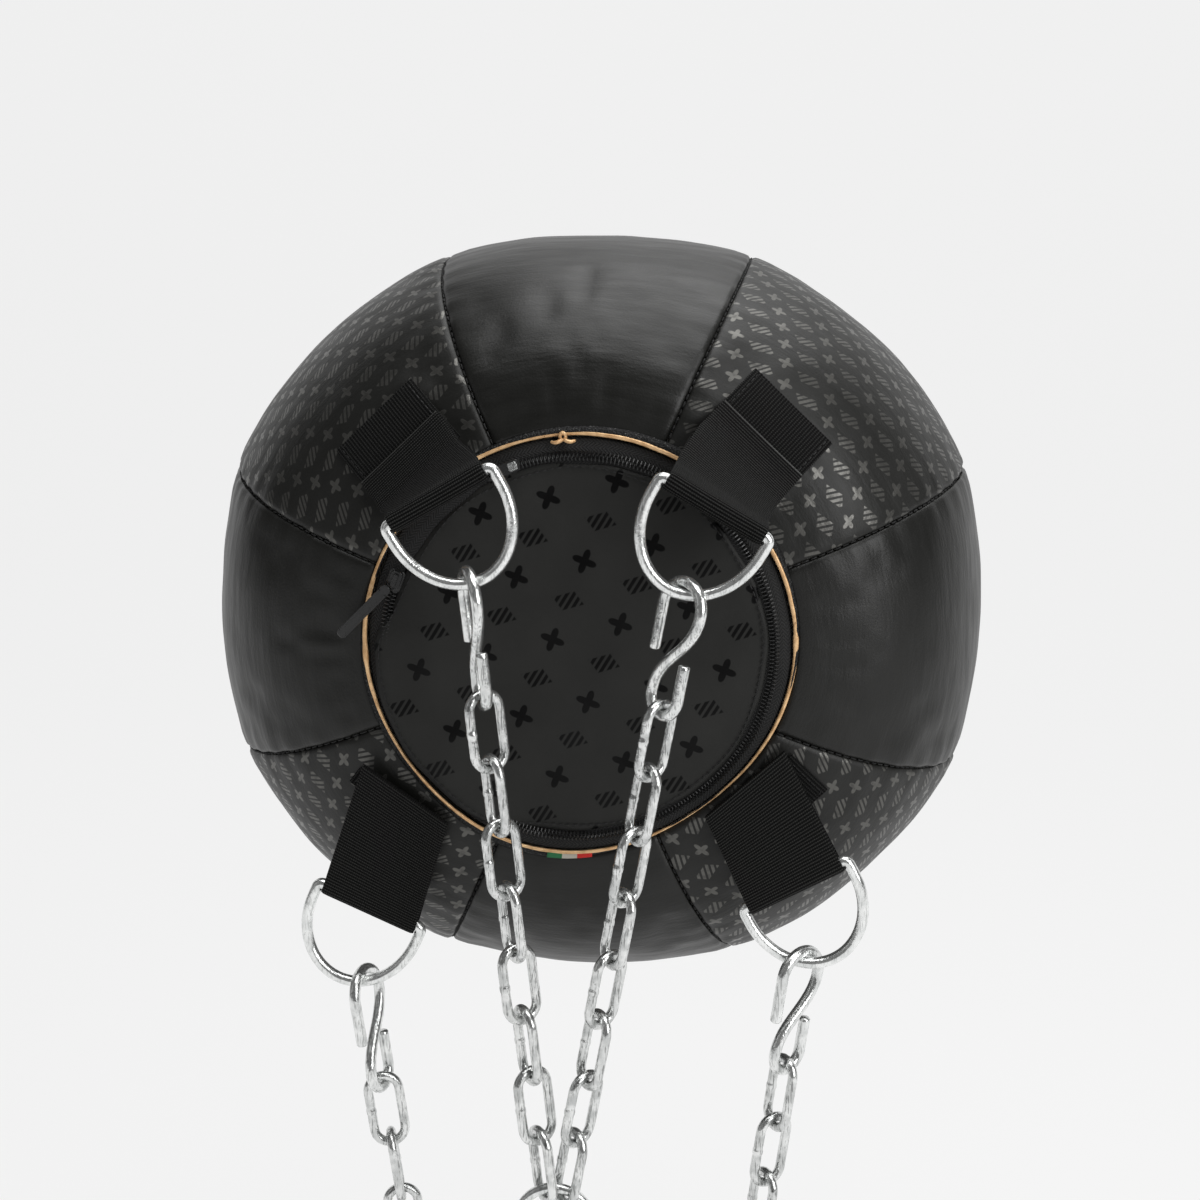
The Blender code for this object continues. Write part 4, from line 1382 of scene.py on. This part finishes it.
def make_lights():
    world = bpy.data.worlds.new("studio")
    bpy.context.scene.world = world
    world.use_nodes = True
    sky = world.node_tree.nodes["Background"].inputs
    sky["Color"].default_value = (0.90, 0.90, 0.895, 1)
    sky["Strength"].default_value = 0.14
    for name, lamp in LAMPS.items():
        area_light(name, *lamp)
    bpy.context.scene.view_settings.view_transform = "Standard"


def make_camera():
    """A little from the right and above, on the lid."""
    azimuth, elevation = math.radians(CAMERA_AZIMUTH), math.radians(CAMERA_ELEVATION)
    level = math.cos(elevation)
    back = Vector((math.sin(azimuth) * level, -math.cos(azimuth) * level, math.sin(elevation)))
    lens = bpy.data.cameras.new("camera")
    lens.sensor_width = CAMERA_SENSOR
    lens.lens = CAMERA_LENS
    camera = in_scene("camera", lens)
    camera.location = Vector(CAMERA_TARGET) + back * CAMERA_DISTANCE
    camera.rotation_euler = (-back).to_track_quat("-Z", "Y").to_euler()
    bpy.context.scene.camera = camera


def make_looks():
    """Each look's material and the slot it fills."""
    looks = {
        "leatherette": (leatherette("leatherette_plain"), "leatherette"),
        "printed": (leatherette("leatherette_printed", True), "printed_leatherette"),
        "lid": (lid_leatherette("leatherette_lid"), "leatherette"),
        "tape": (woven_tape("zip_tape_black"), "zip_tape"),
        "pebbles": (speckled("coil_cloth"), "zip_tape"),
        "teeth": (plain("coil_plastic", (0.005, 0.005, 0.005), 0.30), "black_plastic"),
        "slider": (plain("black_enamel", (0.016, 0.016, 0.016), 0.25), "black_metal"),
        "pull": (plain("pull_enamel", (0.02, 0.02, 0.02), 0.3), "black_metal"),
        "piping": (gold_cord("gold_cord"), "piping"),
        "filling": (plain("textile_scraps", (0.30, 0.28, 0.25), 0.95, grain=0.012, depth=0.004), "filling"),
        "tab": (tricolor("woven_tab"), None),
    }
    webs = {
        "web_upper": webbing("webbing_upper_loop", UPPER_RIBS, (0.0290, 0.0290, 0.0275)),
        "web_lower": webbing("webbing_lower_loop", LOWER_RIBS, (0.0300, 0.0300, 0.0280)),
        "web_long": webbing("webbing_patch", PATCH_RIBS, (0.0190, 0.0190, 0.0180), False),
        "thread": plain("thread", (0.004, 0.004, 0.004), 0.7),
        "cut_end": plain("melted_webbing", (0.030, 0.030, 0.028), 0.5, grain=0.0016),
    }
    wires = {
        "zinc": zinc("zinc_links", 0.75, 0.54, 0.84),
        "zinc_hook": zinc("zinc_hooks", 0.55, 0.64, 0.90),
        "zinc_ring": zinc("zinc_rings", 0.35, 0.72, 0.94, 0.03),
    }
    looks.update((name, (made, "webbing")) for name, made in webs.items())
    looks.update((name, (made, "zinc")) for name, made in wires.items())
    return looks


make_camera()
make_lights()
make_stage()
LOOKS = make_looks()
make_shell()
make_inside()
make_lid()
make_tapes()
make_teeth()
make_piping()
make_zip_metal()
make_straps()
for side in STRAP_ANGLE:
    make_d_ring(side)
    make_chain(side, UPPER_LINKS if side.startswith("upper") else LOWER_LINKS)
make_hanging_ring()
make_tab()
